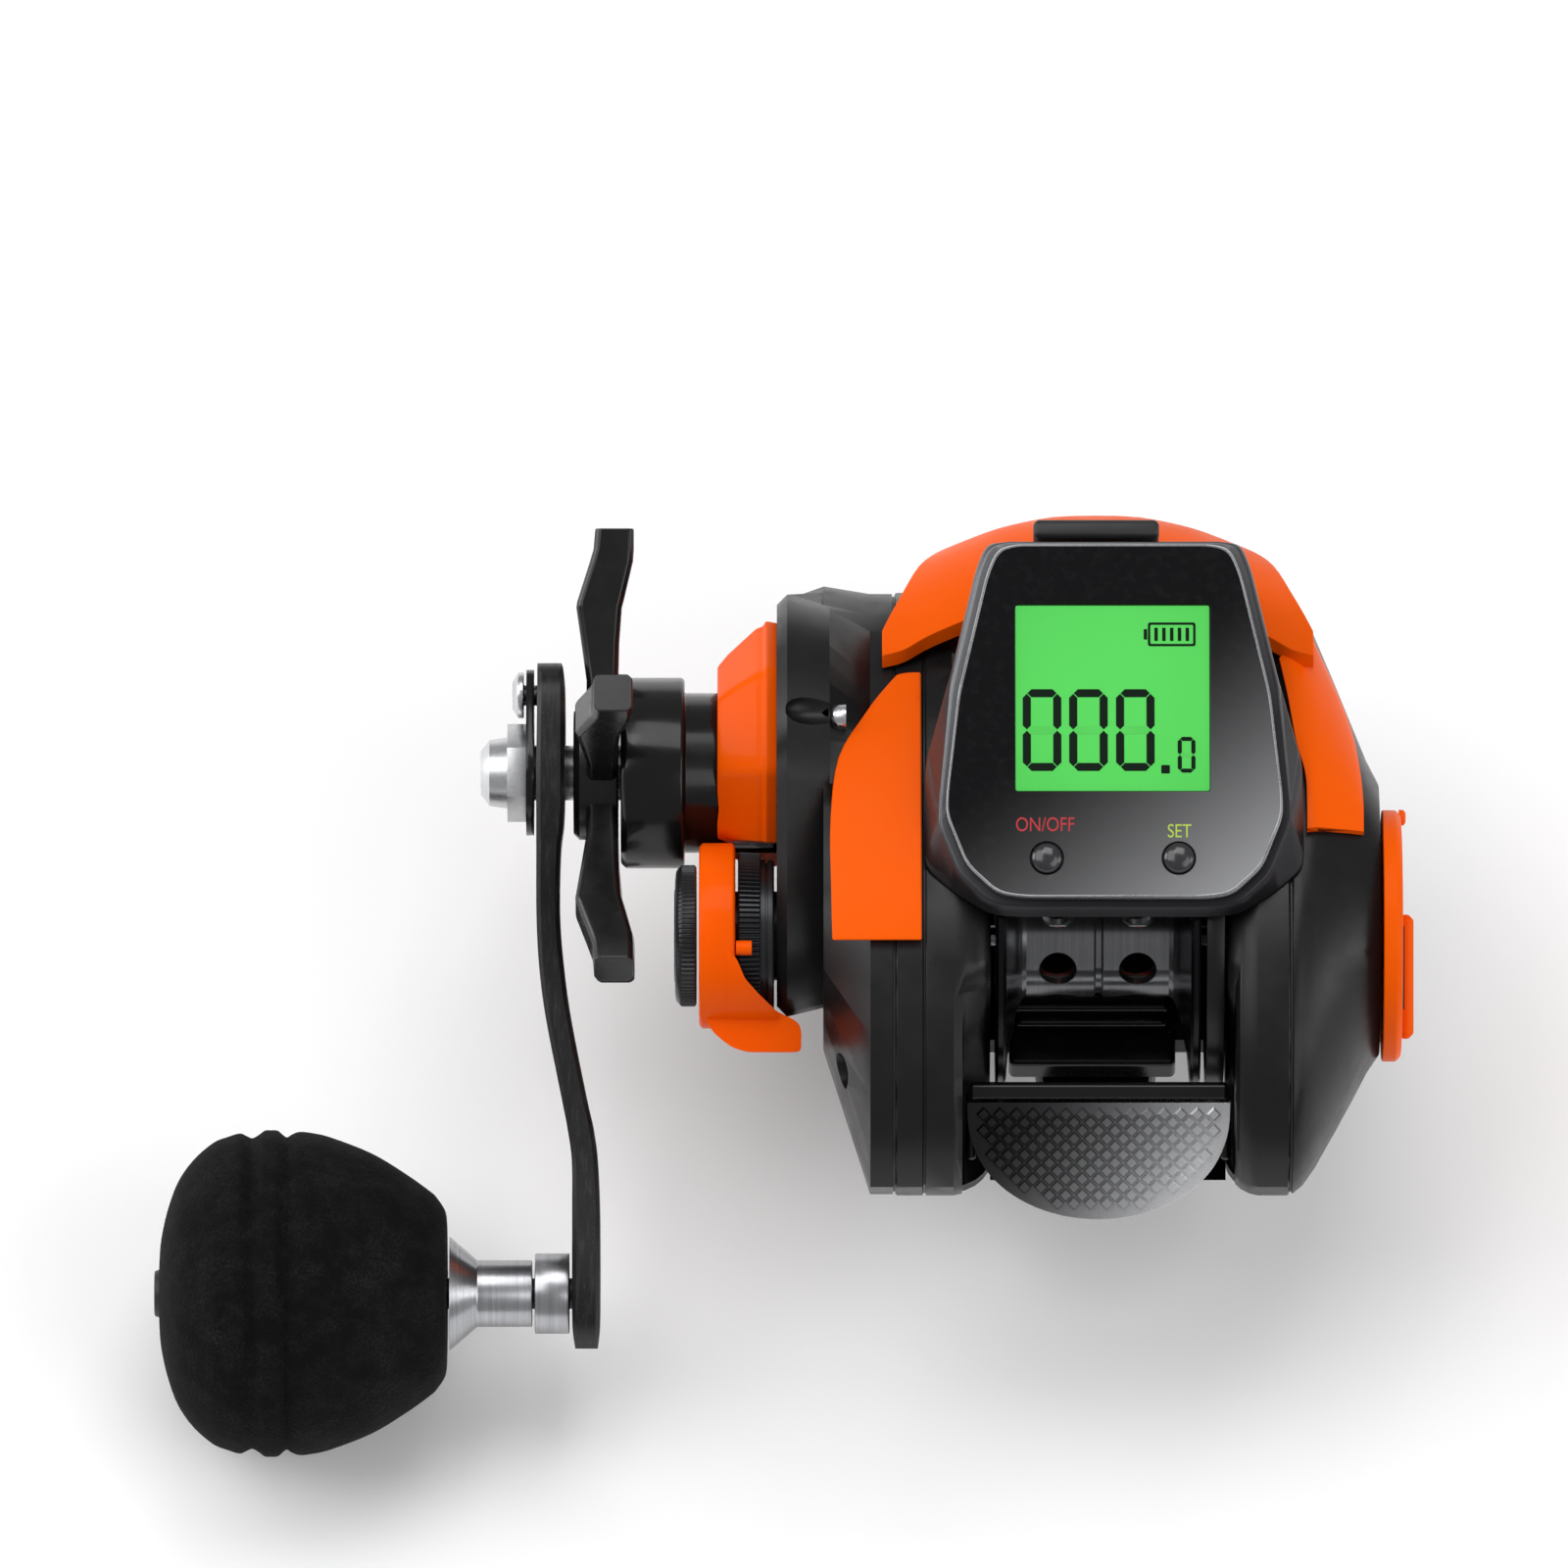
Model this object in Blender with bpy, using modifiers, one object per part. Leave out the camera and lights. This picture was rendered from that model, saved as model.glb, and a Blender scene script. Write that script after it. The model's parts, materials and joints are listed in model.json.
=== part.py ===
import math

import bmesh
import bpy
from mathutils import Matrix, Vector

# Metres. X runs along the spool axis with the crank at -X, +Y is where the line leaves,
# +Z is up, and the origin is the middle of the reel foot's flat underside.
GAP = 0.0003
THIN_GAP = 0.00015
WALL = 0.0016
SMALL_EDGE = 0.0003
SOFT_EDGE = 0.0006
ROUND_STEPS = 32
SMALL_STEPS = 20
OUTLINE_POINTS = 48

# Axes that the moving pieces turn on, as (Y, Z)
SPOOL_Y = -0.007
SPOOL_Z = 0.026
DRIVE_ANGLE = math.radians(3.1)
WORM_ANGLE = math.radians(-31.2)
GEAR_MODULE = 0.0005
DRIVE_TEETH = 71
PINION_TEETH = 11
GUIDE_MODULE = 0.0006
GUIDE_DRIVE_TEETH = 42
WORM_TEETH = 16
# Shares of the pitch and of the module
ROOT_SHARE = 0.33
TIP_SHARE = 0.12
GEAR_ROOT_SHARE = 1.2

# The line opening between the two side walls
OPENING_WIDTH = 0.0273
OPENING_SHIFT = 0.00115

# Body outline seen along X
BODY_Y = -0.001
BODY_Z = 0.025
BODY_REACH = 0.0377
BODY_HEIGHT = 0.0195
BODY_FULLNESS = 3.0
DECK_CUT = 0.0009
FLOOR_Z = 0.0062
BRIDGE_THICKNESS = 0.0024
SILL_HEIGHT = 0.0110

# Widths from the opening out to the crank side
LEFT_WALL_WIDTH = 0.0110
COVER_RIM_WIDTH = 0.0026
COVER_FLARE_WIDTH = 0.0054
COVER_NOSE_WIDTH = 0.0042
COVER_EDGE_WIDTH = 0.0012
COVER_DRIVE_RADIUS = 0.0208
COVER_CAST_RADIUS = 0.0094
COVER_FLARE_Y = 0.0087
COVER_FLARE_REACH = 0.0285
COVER_PLATE = 0.0010
BOSS_WIDTH = 0.0066
BOSS_TOP = 0.0172
NECK_RADIUS = 0.0093
SLEEVE_RADIUS = 0.0111
SLEEVE_WIDTH = 0.0074
NECK_SHOW = 0.0038

# Palm side
RIGHT_WALL_WIDTH = 0.0072
PALM_WIDTH = 0.0103
PALM_LOW_SHARE = 0.45
DIAL_RADIUS = 0.0146
DIAL_WIDTH = 0.0022
DIAL_LEVER_WIDTH = 0.0015
# Share of the lever past the dial's middle
DIAL_LEVER_SHARE = 0.17
DIAL_LEVER_LENGTH = 0.0144
DIAL_LEVER_HEIGHT = 0.0040

# Spool
FLANGE_RADIUS = 0.0173
BARREL_RADIUS = 0.0070
BARREL_WALL = 0.0011
FLANGE_WIDTH = 0.0012
SPOOL_SPACE = 0.0006
PALM_RING_WIDTH = 0.0024
SPOOL_SHAFT_RADIUS = 0.0012
SPOOL_HOLE_RADIUS = 0.0022
SPOOL_HOLES = 6
SPOOL_BEARING_RADIUS = 0.0042
SPOOL_BEARING_WIDTH = 0.0028

# Crank train
SHAFT_RADIUS = 0.0032
DRIVE_GEAR_WIDTH = 0.0034
GUIDE_GEAR_WIDTH = 0.0020
DRAG_RADIUS = 0.0120
DRAG_WIDTH = 0.0024
CLUTCH_RADIUS = 0.0068
CLUTCH_WIDTH = 0.0080
SHAFT_BEARING_RADIUS = 0.0058
SHAFT_BEARING_WIDTH = 0.0030
STAR_HUB_RADIUS = 0.0078
STAR_HUB_WIDTH = 0.0052
STAR_REACH = 0.0284
STAR_ARM_WIDTH = 0.0074
STAR_ARM_THICKNESS = 0.0040
STAR_BEND = 0.0022
STAR_ARMS = 5
CRANK_SPACE = 0.0010
ARM_THICKNESS = 0.0033
ARM_TAIL = 0.0127
ARM_END_RADIUS = 0.0064
ARM_HUB_RADIUS = 0.0085
ARM_NECK_HALF = 0.0044
CRANK_RADIUS = 0.0605
ARM_OFFSET = 0.0041
CRANK_ANGLE = math.radians(-155.0)
RETAINER_THICKNESS = 0.0009
NUT_RADIUS = 0.0057
NUT_WIDTH = 0.0028
NUT_DOME_RADIUS = 0.0042
NUT_DOME_WIDTH = 0.0034
SCREW_HEAD_RADIUS = 0.0027
SCREW_HEAD_WIDTH = 0.0013
SCREW_SHANK_RADIUS = 0.0012

# Knob
KNOB_RADIUS = 0.0190
KNOB_LENGTH = 0.0334
SPINDLE_RADIUS = 0.0018
SPINDLE_RING_RADIUS = 0.0047
SPINDLE_RING_WIDTH = 0.0040
COLLAR_RADIUS = 0.0039
COLLAR_CONE_RADIUS = 0.0067
COLLAR_CONE_WIDTH = 0.0032
COLLAR_WIDTH = 0.0064
KNOB_CAP_RADIUS = 0.0031
KNOB_CAP_WIDTH = 0.0012
KNOB_BEARING_RADIUS = 0.0031
KNOB_BEARING_WIDTH = 0.0024

# Cast control
CAST_COLLAR_RADIUS = 0.0088
CAST_COLLAR_WIDTH = 0.0016
CAST_BARREL_RADIUS = 0.0097
CAST_BARREL_WIDTH = 0.0026
LEVER_RADIUS = 0.0108
LEVER_WIDTH = 0.0042
LEVER_TAB_REACH = 0.0134
LEVER_TAB_WIDTH = 0.0117
CAST_CAP_RADIUS = 0.0082
CAST_CAP_WIDTH = 0.0026
CAST_TUBE_RADIUS = 0.0052

# Display pod
POD_X = 0.0017
POD_Y = 0.0068
POD_STAND = 0.0091
POD_TILT = math.radians(15.0)
POD_HALF_LENGTH = 0.0215
POD_HALF_WIDTH = 0.0194
POD_SKIRT_DROP = 0.0080
POD_FLOOR = 0.0012
FACE_THICKNESS = 0.0012
FACE_MARGIN = 0.0012
LCD_HALF_WIDTH = 0.0112
LCD_HALF_HEIGHT = 0.0109
LCD_UP = 0.0034
LCD_THICKNESS = 0.0010
LCD_SHIFT = -0.0002
BUTTON_RADIUS = 0.0018
BUTTON_SIDE = 0.0076
BUTTON_INSET = 0.0061
BUTTON_RISE = 0.0008
BUTTON_TRAVEL = 0.0005
BOARD_THICKNESS = 0.0010
BATTERY_LENGTH = 0.0250
BATTERY_WIDTH = 0.0100
BATTERY_HEIGHT = 0.0030
SENSOR_WIDTH = 0.0034
SENSOR_HEIGHT = 0.0012
PORT_WIDTH = 0.0145
PORT_HEIGHT = 0.0052
PORT_DEPTH = 0.0022
PORT_SHIFT = -0.0020
SOCKET_WIDTH = 0.0084
SOCKET_HEIGHT = 0.0030
SOCKET_DEPTH = 0.0060

# Hood in front of the pod
HOOD_STAND = 0.0101
HOOD_RISE = 0.0045
HOOD_THICKNESS = 0.0018
HOOD_HALF_WIDTH = 0.0250

TRIM_THICKNESS = 0.0013
TRIM_WIDTH = 0.0105
RIGHT_TRIM_REAR = -0.0007

# Level wind
WORM_RADIUS = 0.0025
WORM_SHAFT_RADIUS = 0.0012
RAIL_RADIUS = 0.0010
RAIL_FORWARD = 0.0046
GUIDE_DEPTH = 0.0034
EYE_RADIUS = 0.0026
EYE_WALL = 0.0008
PAWL_RADIUS = 0.0011
PAWL_LENGTH = 0.0018

# Thumb bar, foot and fasteners
THUMB_RADIUS = 0.0152
THUMB_DEPTH = 0.0129
THUMB_THICKNESS = 0.0022
LINK_LENGTH = 0.0060
THUMB_INSET = 0.0097
THUMB_RISE = 0.0022
THUMB_TILT = math.radians(36.0)
FOOT_LENGTH = 0.0580
FOOT_WIDTH = 0.0150
FOOT_THICKNESS = 0.0028
FOOT_TIP_THICKNESS = 0.0013
FOOT_SCREW_RADIUS = 0.0022
FOOT_SCREWS_APART = 0.0200
COVER_SCREW_RADIUS = 0.0018
COVER_SCREW_LENGTH = 0.0060
COVER_SCREW_SEAT = 0.0008
COVER_SCREW_INSET = 0.0127
COVER_SCREW_RISE = 0.0045

# Stations along X, from the opening out to each side, then places that follow the body
opening_left = OPENING_SHIFT - OPENING_WIDTH / 2
opening_right = OPENING_SHIFT + OPENING_WIDTH / 2
wall_left = opening_left - LEFT_WALL_WIDTH
cover_in = wall_left - GAP
cover_rim = cover_in - COVER_RIM_WIDTH
cover_flare = cover_rim - COVER_FLARE_WIDTH
cover_nose = cover_flare - COVER_NOSE_WIDTH
cover_out = cover_nose - COVER_EDGE_WIDTH
boss_in = cover_out - GAP
boss_out = boss_in - BOSS_WIDTH
sleeve_in = boss_out - NECK_SHOW
sleeve_out = sleeve_in - SLEEVE_WIDTH
star_in = sleeve_out - GAP
star_out = star_in - STAR_HUB_WIDTH
arm_in = star_out - CRANK_SPACE
arm_out = arm_in - ARM_THICKNESS
retainer_in = arm_out - GAP
screw_out = NUT_RADIUS + GAP + SCREW_HEAD_RADIUS + GAP
wall_right = opening_right + RIGHT_WALL_WIDTH
palm_in = wall_right + GAP
palm_out = palm_in + PALM_WIDTH
top_deck = BODY_Z + BODY_HEIGHT - DECK_CUT
hood_reach = BODY_REACH + HOOD_STAND
hood_height = BODY_HEIGHT + HOOD_RISE
pod_bottom = top_deck + GAP
pod_z = pod_bottom + POD_STAND
pod_front = POD_HALF_LENGTH * 1.03
button_down = POD_HALF_LENGTH - BUTTON_INSET
thumb_y = BODY_Y - BODY_REACH + THUMB_INSET
thumb_z = BODY_Z + THUMB_RISE
cover_screw_y = BODY_Y - BODY_REACH + COVER_SCREW_INSET
cover_screw_z = BODY_Z + COVER_SCREW_RISE
socket_in = pod_front - GAP - SOCKET_DEPTH
socket_top = -FACE_THICKNESS - WALL
foot_head = FOOT_THICKNESS * 0.55
spool_left = opening_left + SPOOL_SPACE
spool_right = opening_right - PALM_RING_WIDTH - SPOOL_SPACE

# The shafts that mesh sit one centre distance apart
train_span = GEAR_MODULE * (DRIVE_TEETH + PINION_TEETH) / 2
drive_y = SPOOL_Y + train_span * math.cos(DRIVE_ANGLE)
drive_z = SPOOL_Z + train_span * math.sin(DRIVE_ANGLE)
guide_span = GUIDE_MODULE * (GUIDE_DRIVE_TEETH + WORM_TEETH) / 2
worm_y = drive_y + guide_span * math.cos(WORM_ANGLE)
worm_z = drive_z + guide_span * math.sin(WORM_ANGLE)
rail_y = worm_y + RAIL_FORWARD
eye_z = worm_z + WORM_RADIUS + WALL + EYE_RADIUS + EYE_WALL
rail_z = eye_z + EYE_RADIUS + EYE_WALL + RAIL_RADIUS + WALL
rail_seat = WALL * 2

FINISHES = {
    "orange": ((0.96, 0.13, 0.006), 0.30, 0.0),
    "bright_orange": ((1.0, 0.09, 0.0), 0.15, 0.0),
    "black": ((0.016, 0.016, 0.018), 0.42, 0.0),
    "gloss_black": ((0.010, 0.010, 0.011), 0.16, 0.0),
    "charcoal": ((0.055, 0.056, 0.060), 0.36, 0.0),
    "foam": ((0.010, 0.010, 0.010), 0.85, 0.0),
    "dark_metal": ((0.060, 0.062, 0.068), 0.28, 0.9),
    "steel": ((0.62, 0.63, 0.65), 0.25, 1.0),
    "polished": ((0.72, 0.73, 0.75), 0.10, 1.0),
    "brass": ((0.72, 0.48, 0.17), 0.28, 1.0),
    "screen": ((0.09, 0.72, 0.10), 0.20, 0.0),
    "board": ((0.01, 0.10, 0.03), 0.45, 0.0),
    "cell": ((0.50, 0.52, 0.55), 0.35, 0.3),
    "rubber": ((0.014, 0.014, 0.015), 0.75, 0.0),
    "ceramic": ((0.70, 0.70, 0.72), 0.12, 0.0),
    "red": ((0.55, 0.012, 0.010), 0.30, 0.0),
    "lime": ((0.36, 0.58, 0.03), 0.30, 0.0),
    "magnet": ((0.40, 0.40, 0.42), 0.22, 1.0),
    "fibre": ((0.12, 0.09, 0.06), 0.70, 0.0),
}


def clear_scene():
    for obj in list(bpy.data.objects):
        bpy.data.objects.remove(obj, do_unlink=True)


def new_collection(name, hidden=False):
    made = bpy.data.collections.new(name)
    made.hide_render = hidden
    bpy.context.scene.collection.children.link(made)
    return made


clear_scene()
reel = new_collection("fishing_reel")
cutters = new_collection("cutters", hidden=True)


def coated(obj, finish):
    colour, roughness, metallic = FINISHES[finish]
    coat = bpy.data.materials.new(obj.name + "_" + finish)
    coat.use_nodes = True
    shader = coat.node_tree.nodes["Principled BSDF"]
    shader.inputs["Base Color"].default_value = (*colour, 1.0)
    shader.inputs["Roughness"].default_value = roughness
    shader.inputs["Metallic"].default_value = metallic
    coat.diffuse_color = (*colour, 1.0)
    obj.data.materials.clear()
    obj.data.materials.append(coat)


def added(name, data, finish, turn=None, at=(0.0, 0.0, 0.0)):
    """Puts data in the model as a part, or among the cutters when it has no finish."""
    obj = bpy.data.objects.new(name, data)
    obj.location = at
    if turn is not None:
        obj.rotation_euler = turn.to_euler()
    if finish is None:
        cutters.objects.link(obj)
        obj.hide_render = True
        obj.display_type = "WIRE"
    else:
        reel.objects.link(obj)
        coated(obj, finish)
    return obj


def from_bmesh(name, shape, finish, at=(0.0, 0.0, 0.0), turn=None):
    bmesh.ops.recalc_face_normals(shape, faces=shape.faces)
    mesh = bpy.data.meshes.new(name)
    shape.to_mesh(mesh)
    shape.free()
    return added(name, mesh, finish, turn, at)


def rounded(obj, sharp=math.radians(32.0)):
    obj.data.shade_smooth()
    obj.data.set_sharp_from_angle(angle=sharp)
    return obj


def bevelled(obj, width=SMALL_EDGE, segments=1):
    edge = obj.modifiers.new("edges", "BEVEL")
    edge.width = width
    edge.segments = segments
    edge.limit_method = "ANGLE"
    edge.angle_limit = math.radians(40.0)
    return obj


def boolean(obj, tools, operation):
    for tool in tools:
        step = obj.modifiers.new(operation.lower(), "BOOLEAN")
        step.operation = operation
        step.solver = "EXACT"
        step.object = tool
    return obj


def cut(obj, *tools):
    return boolean(obj, tools, "DIFFERENCE")


def joined(obj, *tools):
    return boolean(obj, tools, "UNION")


def block(name, x_range, y_range, z_range, finish=None, turn=None, at=(0.0, 0.0, 0.0)):
    """A box between two stations on each axis, before its turn about at."""
    shape = bmesh.new()
    size = [high - low for low, high in (x_range, y_range, z_range)]
    middle = [(high + low) / 2 for low, high in (x_range, y_range, z_range)]
    place = Matrix.Translation(middle) @ Matrix.Diagonal((*size, 1.0))
    bmesh.ops.create_cube(shape, size=1.0, matrix=place)
    return from_bmesh(name, shape, finish, at, turn)


TO_X = Matrix(((0.0, 0.0, 1.0), (0.0, 1.0, 0.0), (-1.0, 0.0, 0.0)))
FLAT_TO_X = Matrix(((0.0, 0.0, 1.0), (1.0, 0.0, 0.0), (0.0, 1.0, 0.0)))


def turned(name, profile, finish, y, z, steps=ROUND_STEPS, turn=TO_X, origin_x=0.0):
    """A turned piece. The profile holds (X, radius) and runs from high X to low X on its outside."""
    closed = profile[0][1] > 0 and profile[-1][1] > 0
    mesh = bpy.data.meshes.new(name)
    points = [(radius, 0.0, along - origin_x) for along, radius in profile]
    edges = [(index, index + 1) for index in range(len(points) - 1)]
    if closed:
        edges.append((len(points) - 1, 0))
    mesh.from_pydata(points, edges, [])
    obj = added(name, mesh, finish, turn, (origin_x, y, z))
    screw = obj.modifiers.new("turn", "SCREW")
    screw.steps = steps
    screw.render_steps = steps
    screw.use_merge_vertices = True
    screw.merge_threshold = 0.00001
    screw.use_smooth_shade = False
    return obj


def rod(x_low, x_high, radius):
    return [(x_high, 0.0), (x_high, radius), (x_low, radius), (x_low, 0.0)]


def tube(x_low, x_high, radius, bore):
    return [(x_high, radius), (x_low, radius), (x_low, bore), (x_high, bore)]


def round_cutter(name, x_low, x_high, radius, y, z, steps=ROUND_STEPS):
    return turned(name, rod(x_low, x_high, radius), None, y, z, steps)


def circle(radius, count, middle=(0.0, 0.0), phase=0.0):
    return [
        (
            middle[0] + radius * math.cos(phase + math.tau * index / count),
            middle[1] + radius * math.sin(phase + math.tau * index / count),
        )
        for index in range(count)
    ]


def flat(name, loops, x_low, x_high, finish, y=0.0, z=0.0, turn=FLAT_TO_X, mesh=True):
    """A flat outline in (Y, Z) with its holes, as thick as the two stations are apart."""
    curve = bpy.data.curves.new(name, "CURVE")
    curve.dimensions = "2D"
    curve.fill_mode = "BOTH"
    curve.extrude = (x_high - x_low) / 2
    for loop in loops:
        spline = curve.splines.new("POLY")
        spline.points.add(len(loop) - 1)
        for point, place in zip(spline.points, loop):
            point.co = (*place, 0.0, 1.0)
        spline.use_cyclic_u = True
    at = ((x_low + x_high) / 2, y, z)
    if not mesh:
        return added(name, curve, finish, turn, at)
    return solid_of(added(name + "_outline", curve, None, turn, at), name, finish)


def solid_of(curve_object, name, finish):
    bpy.context.view_layer.update()
    evaluated = curve_object.evaluated_get(bpy.context.evaluated_depsgraph_get())
    mesh = bpy.data.meshes.new_from_object(evaluated)
    shape = bmesh.new()
    shape.from_mesh(mesh)
    bmesh.ops.remove_doubles(shape, verts=shape.verts, dist=0.000001)
    place = curve_object.matrix_world.copy()
    bpy.data.objects.remove(curve_object, do_unlink=True)
    obj = from_bmesh(name, shape, finish)
    obj.matrix_world = place
    return obj


def lofted(name, rings, finish, at=(0.0, 0.0, 0.0), turn=None):
    """A closed solid through rings of points, each with as many points as the next."""
    shape = bmesh.new()
    rows = [[shape.verts.new(Vector(point) - Vector(at)) for point in ring] for ring in rings]
    for near, far in zip(rows, rows[1:]):
        for index in range(len(near)):
            after = (index + 1) % len(near)
            shape.faces.new((near[index], near[after], far[after], far[index]))
    shape.faces.new(rows[0])
    shape.faces.new(rows[-1])
    return from_bmesh(name, shape, finish, at, turn)


def spokes(outline, middle, count=OUTLINE_POINTS):
    """The outline's points at even angles round the middle, so that unlike outlines pair up."""
    centre = Vector(middle)
    corners = [Vector(point) for point in outline]
    found = []
    for index in range(count):
        ray = Vector((math.cos(math.tau * index / count), math.sin(math.tau * index / count)))
        reach = 0.0
        for near, far in zip(corners, corners[1:] + corners[:1]):
            edge = far - near
            slant = ray.cross(edge)
            if slant == 0:
                continue
            start = near - centre
            share = start.cross(ray) / slant
            if 0.0 <= share <= 1.0:
                reach = max(reach, start.cross(edge) / slant)
        found.append(centre + ray * reach)
    return found


def loft_x(name, stations, finish, middle):
    rings = [[(x, *point) for point in spokes(outline, middle)] for x, outline in stations]
    return lofted(name, rings, finish)


def egg(y, z, reach, height, count=OUTLINE_POINTS):
    """An ellipse seen along X whose lower front quarter is fuller, for the level-wind gears."""
    points = []
    for index in range(count):
        across = math.cos(math.tau * index / count)
        up = math.sin(math.tau * index / count)
        power = 2 / BODY_FULLNESS if across > 0 > up else 1.0
        points.append(
            (
                y + reach * math.copysign(abs(across) ** power, across),
                z + height * math.copysign(abs(up) ** power, up),
            )
        )
    return points


def body_outline(inset=0.0, top=top_deck):
    outline = egg(BODY_Y, BODY_Z, BODY_REACH - inset, BODY_HEIGHT - inset)
    return [(y, min(z, top)) for y, z in outline]


def hull_outline(inset=0.0):
    """The outline round the drive shaft and the cast control, as a belt round two discs."""
    discs = (
        (Vector((drive_y, drive_z)), COVER_DRIVE_RADIUS - inset),
        (Vector((SPOOL_Y, SPOOL_Z)), COVER_CAST_RADIUS - inset),
    )
    points = []
    for index in range(OUTLINE_POINTS):
        angle = math.tau * index / OUTLINE_POINTS
        away = Vector((math.cos(angle), math.sin(angle)))
        centre, radius = max(discs, key=lambda disc: disc[0].dot(away) + disc[1])
        points.append(tuple(centre + away * radius))
    return points


def gear_outline(teeth, module):
    """Straight-sided teeth, four points each: the tip is narrower than the root."""
    pitch_radius = teeth * module / 2
    tip = pitch_radius + module
    root = pitch_radius - GEAR_ROOT_SHARE * module
    pitch = math.tau / teeth
    points = []
    for index in range(teeth):
        for radius, share in ((root, -ROOT_SHARE), (tip, -TIP_SHARE), (tip, TIP_SHARE), (root, ROOT_SHARE)):
            angle = pitch * (index + share)
            points.append((radius * math.cos(angle), radius * math.sin(angle)))
    return points


sill_width = LEFT_WALL_WIDTH * 0.4
floor_low = FOOT_THICKNESS + GAP
floor_rear = SPOOL_Y - FLANGE_RADIUS * 0.4
floor_front = BODY_Y + BODY_REACH * 0.62
cover_screw_head = cover_rim - COVER_SCREW_SEAT - GAP
cover_screw_end = cover_screw_head + COVER_SCREW_LENGTH
gear_out = cover_out + COVER_PLATE + GAP
gear_in = gear_out + DRIVE_GEAR_WIDTH
drag_out = gear_in + GAP
guide_gear_in = cover_in - GAP
guide_gear_out = guide_gear_in - GUIDE_GEAR_WIDTH
cast_in = cover_out - GAP
cast_barrel_in = cast_in - CAST_COLLAR_WIDTH
lever_in = cast_barrel_in - CAST_BARREL_WIDTH - GAP
cast_cap_in = lever_in - LEVER_WIDTH - GAP
cast_tube_end = cast_cap_in + GAP
gear_room = DRIVE_TEETH * GEAR_MODULE / 2 + GEAR_MODULE + GAP


def frame_walls():
    left = loft_x(
        "frame",
        [(wall_left, body_outline()), (opening_left, body_outline())],
        "black",
        (BODY_Y, BODY_Z),
    )
    right = loft_x(
        "right_wall",
        [(opening_right, body_outline()), (wall_right, body_outline())],
        None,
        (BODY_Y, BODY_Z),
    )
    return left, right


def frame_bars():
    """The floor, the sills that tie it to the walls, the top bridge, the nose bar and the rear bar."""
    across = (opening_left - sill_width, opening_right + sill_width)
    floor = block("floor", across, (floor_rear, floor_front), (floor_low, FLOOR_Z))
    sill_top = floor_low + SILL_HEIGHT
    sills = [
        block(
            "sill",
            (low, low + sill_width - SOFT_EDGE),
            (floor_rear + SOFT_EDGE, floor_front - SOFT_EDGE),
            (floor_low + SMALL_EDGE, sill_top),
        )
        for low in (opening_left - sill_width + SMALL_EDGE, opening_right + SMALL_EDGE)
    ]
    bridge = block(
        "bridge",
        across,
        (SPOOL_Y + FLANGE_RADIUS * 0.75, POD_Y + POD_HALF_LENGTH * 0.66),
        (top_deck - BRIDGE_THICKNESS, top_deck - GAP),
    )
    rear = block(
        "rear_bar",
        across,
        (BODY_Y - BODY_REACH * 0.86, BODY_Y - BODY_REACH * 0.76),
        (BODY_Z - BODY_HEIGHT * 0.66, BODY_Z - BODY_HEIGHT * 0.48),
    )
    front = block(
        "front_bar",
        across,
        (BODY_Y + BODY_REACH * 0.73, BODY_Y + BODY_REACH * 0.83),
        (BODY_Z - BODY_HEIGHT * 0.72, BODY_Z - BODY_HEIGHT * 0.615),
    )
    return [floor, *sills, bridge, rear, front]


def frame_cutters():
    beyond = LEFT_WALL_WIDTH
    low = wall_left - beyond
    high = wall_right + beyond
    bores = [
        round_cutter("spool_bore", low, high, SPOOL_BEARING_RADIUS + GAP, SPOOL_Y, SPOOL_Z),
        round_cutter(
            "shaft_bore", low, wall_left + SHAFT_BEARING_WIDTH + GAP, SHAFT_BEARING_RADIUS + GAP,
            drive_y, drive_z,
        ),
        round_cutter("worm_bore", low, high, WORM_SHAFT_RADIUS + GAP, worm_y, worm_z, SMALL_STEPS),
        round_cutter(
            "cover_thread", low, cover_screw_end + GAP, SCREW_SHANK_RADIUS + GAP,
            cover_screw_y, cover_screw_z, 12,
        ),
    ]
    thumb_room = THUMB_RADIUS + GAP * 2
    pocket = block(
        "thumb_pocket",
        (-thumb_room, thumb_room),
        (BODY_Y - BODY_REACH - beyond, BODY_Y - BODY_REACH * 0.55),
        (BODY_Z - BODY_HEIGHT * 0.44, top_deck + beyond),
    )
    rail = round_cutter(
        "rail_bore", opening_left - rail_seat - GAP, opening_right + rail_seat + GAP,
        RAIL_RADIUS + GAP, rail_y, rail_z, SMALL_STEPS - 4,
    )
    return [*bores, pocket, rail]


def make_frame():
    frame, right = frame_walls()
    joined(frame, right, *frame_bars())
    cut(frame, *frame_cutters())
    return rounded(frame)


def cover_stations(inset=0.0, deep=0.0):
    flare = egg(COVER_FLARE_Y, BODY_Z, COVER_FLARE_REACH - inset, BODY_HEIGHT - inset)
    return [
        (cover_in + deep, body_outline(inset, top_deck)),
        (cover_rim, body_outline(inset, top_deck)),
        (cover_flare, flare),
    ]


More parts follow.
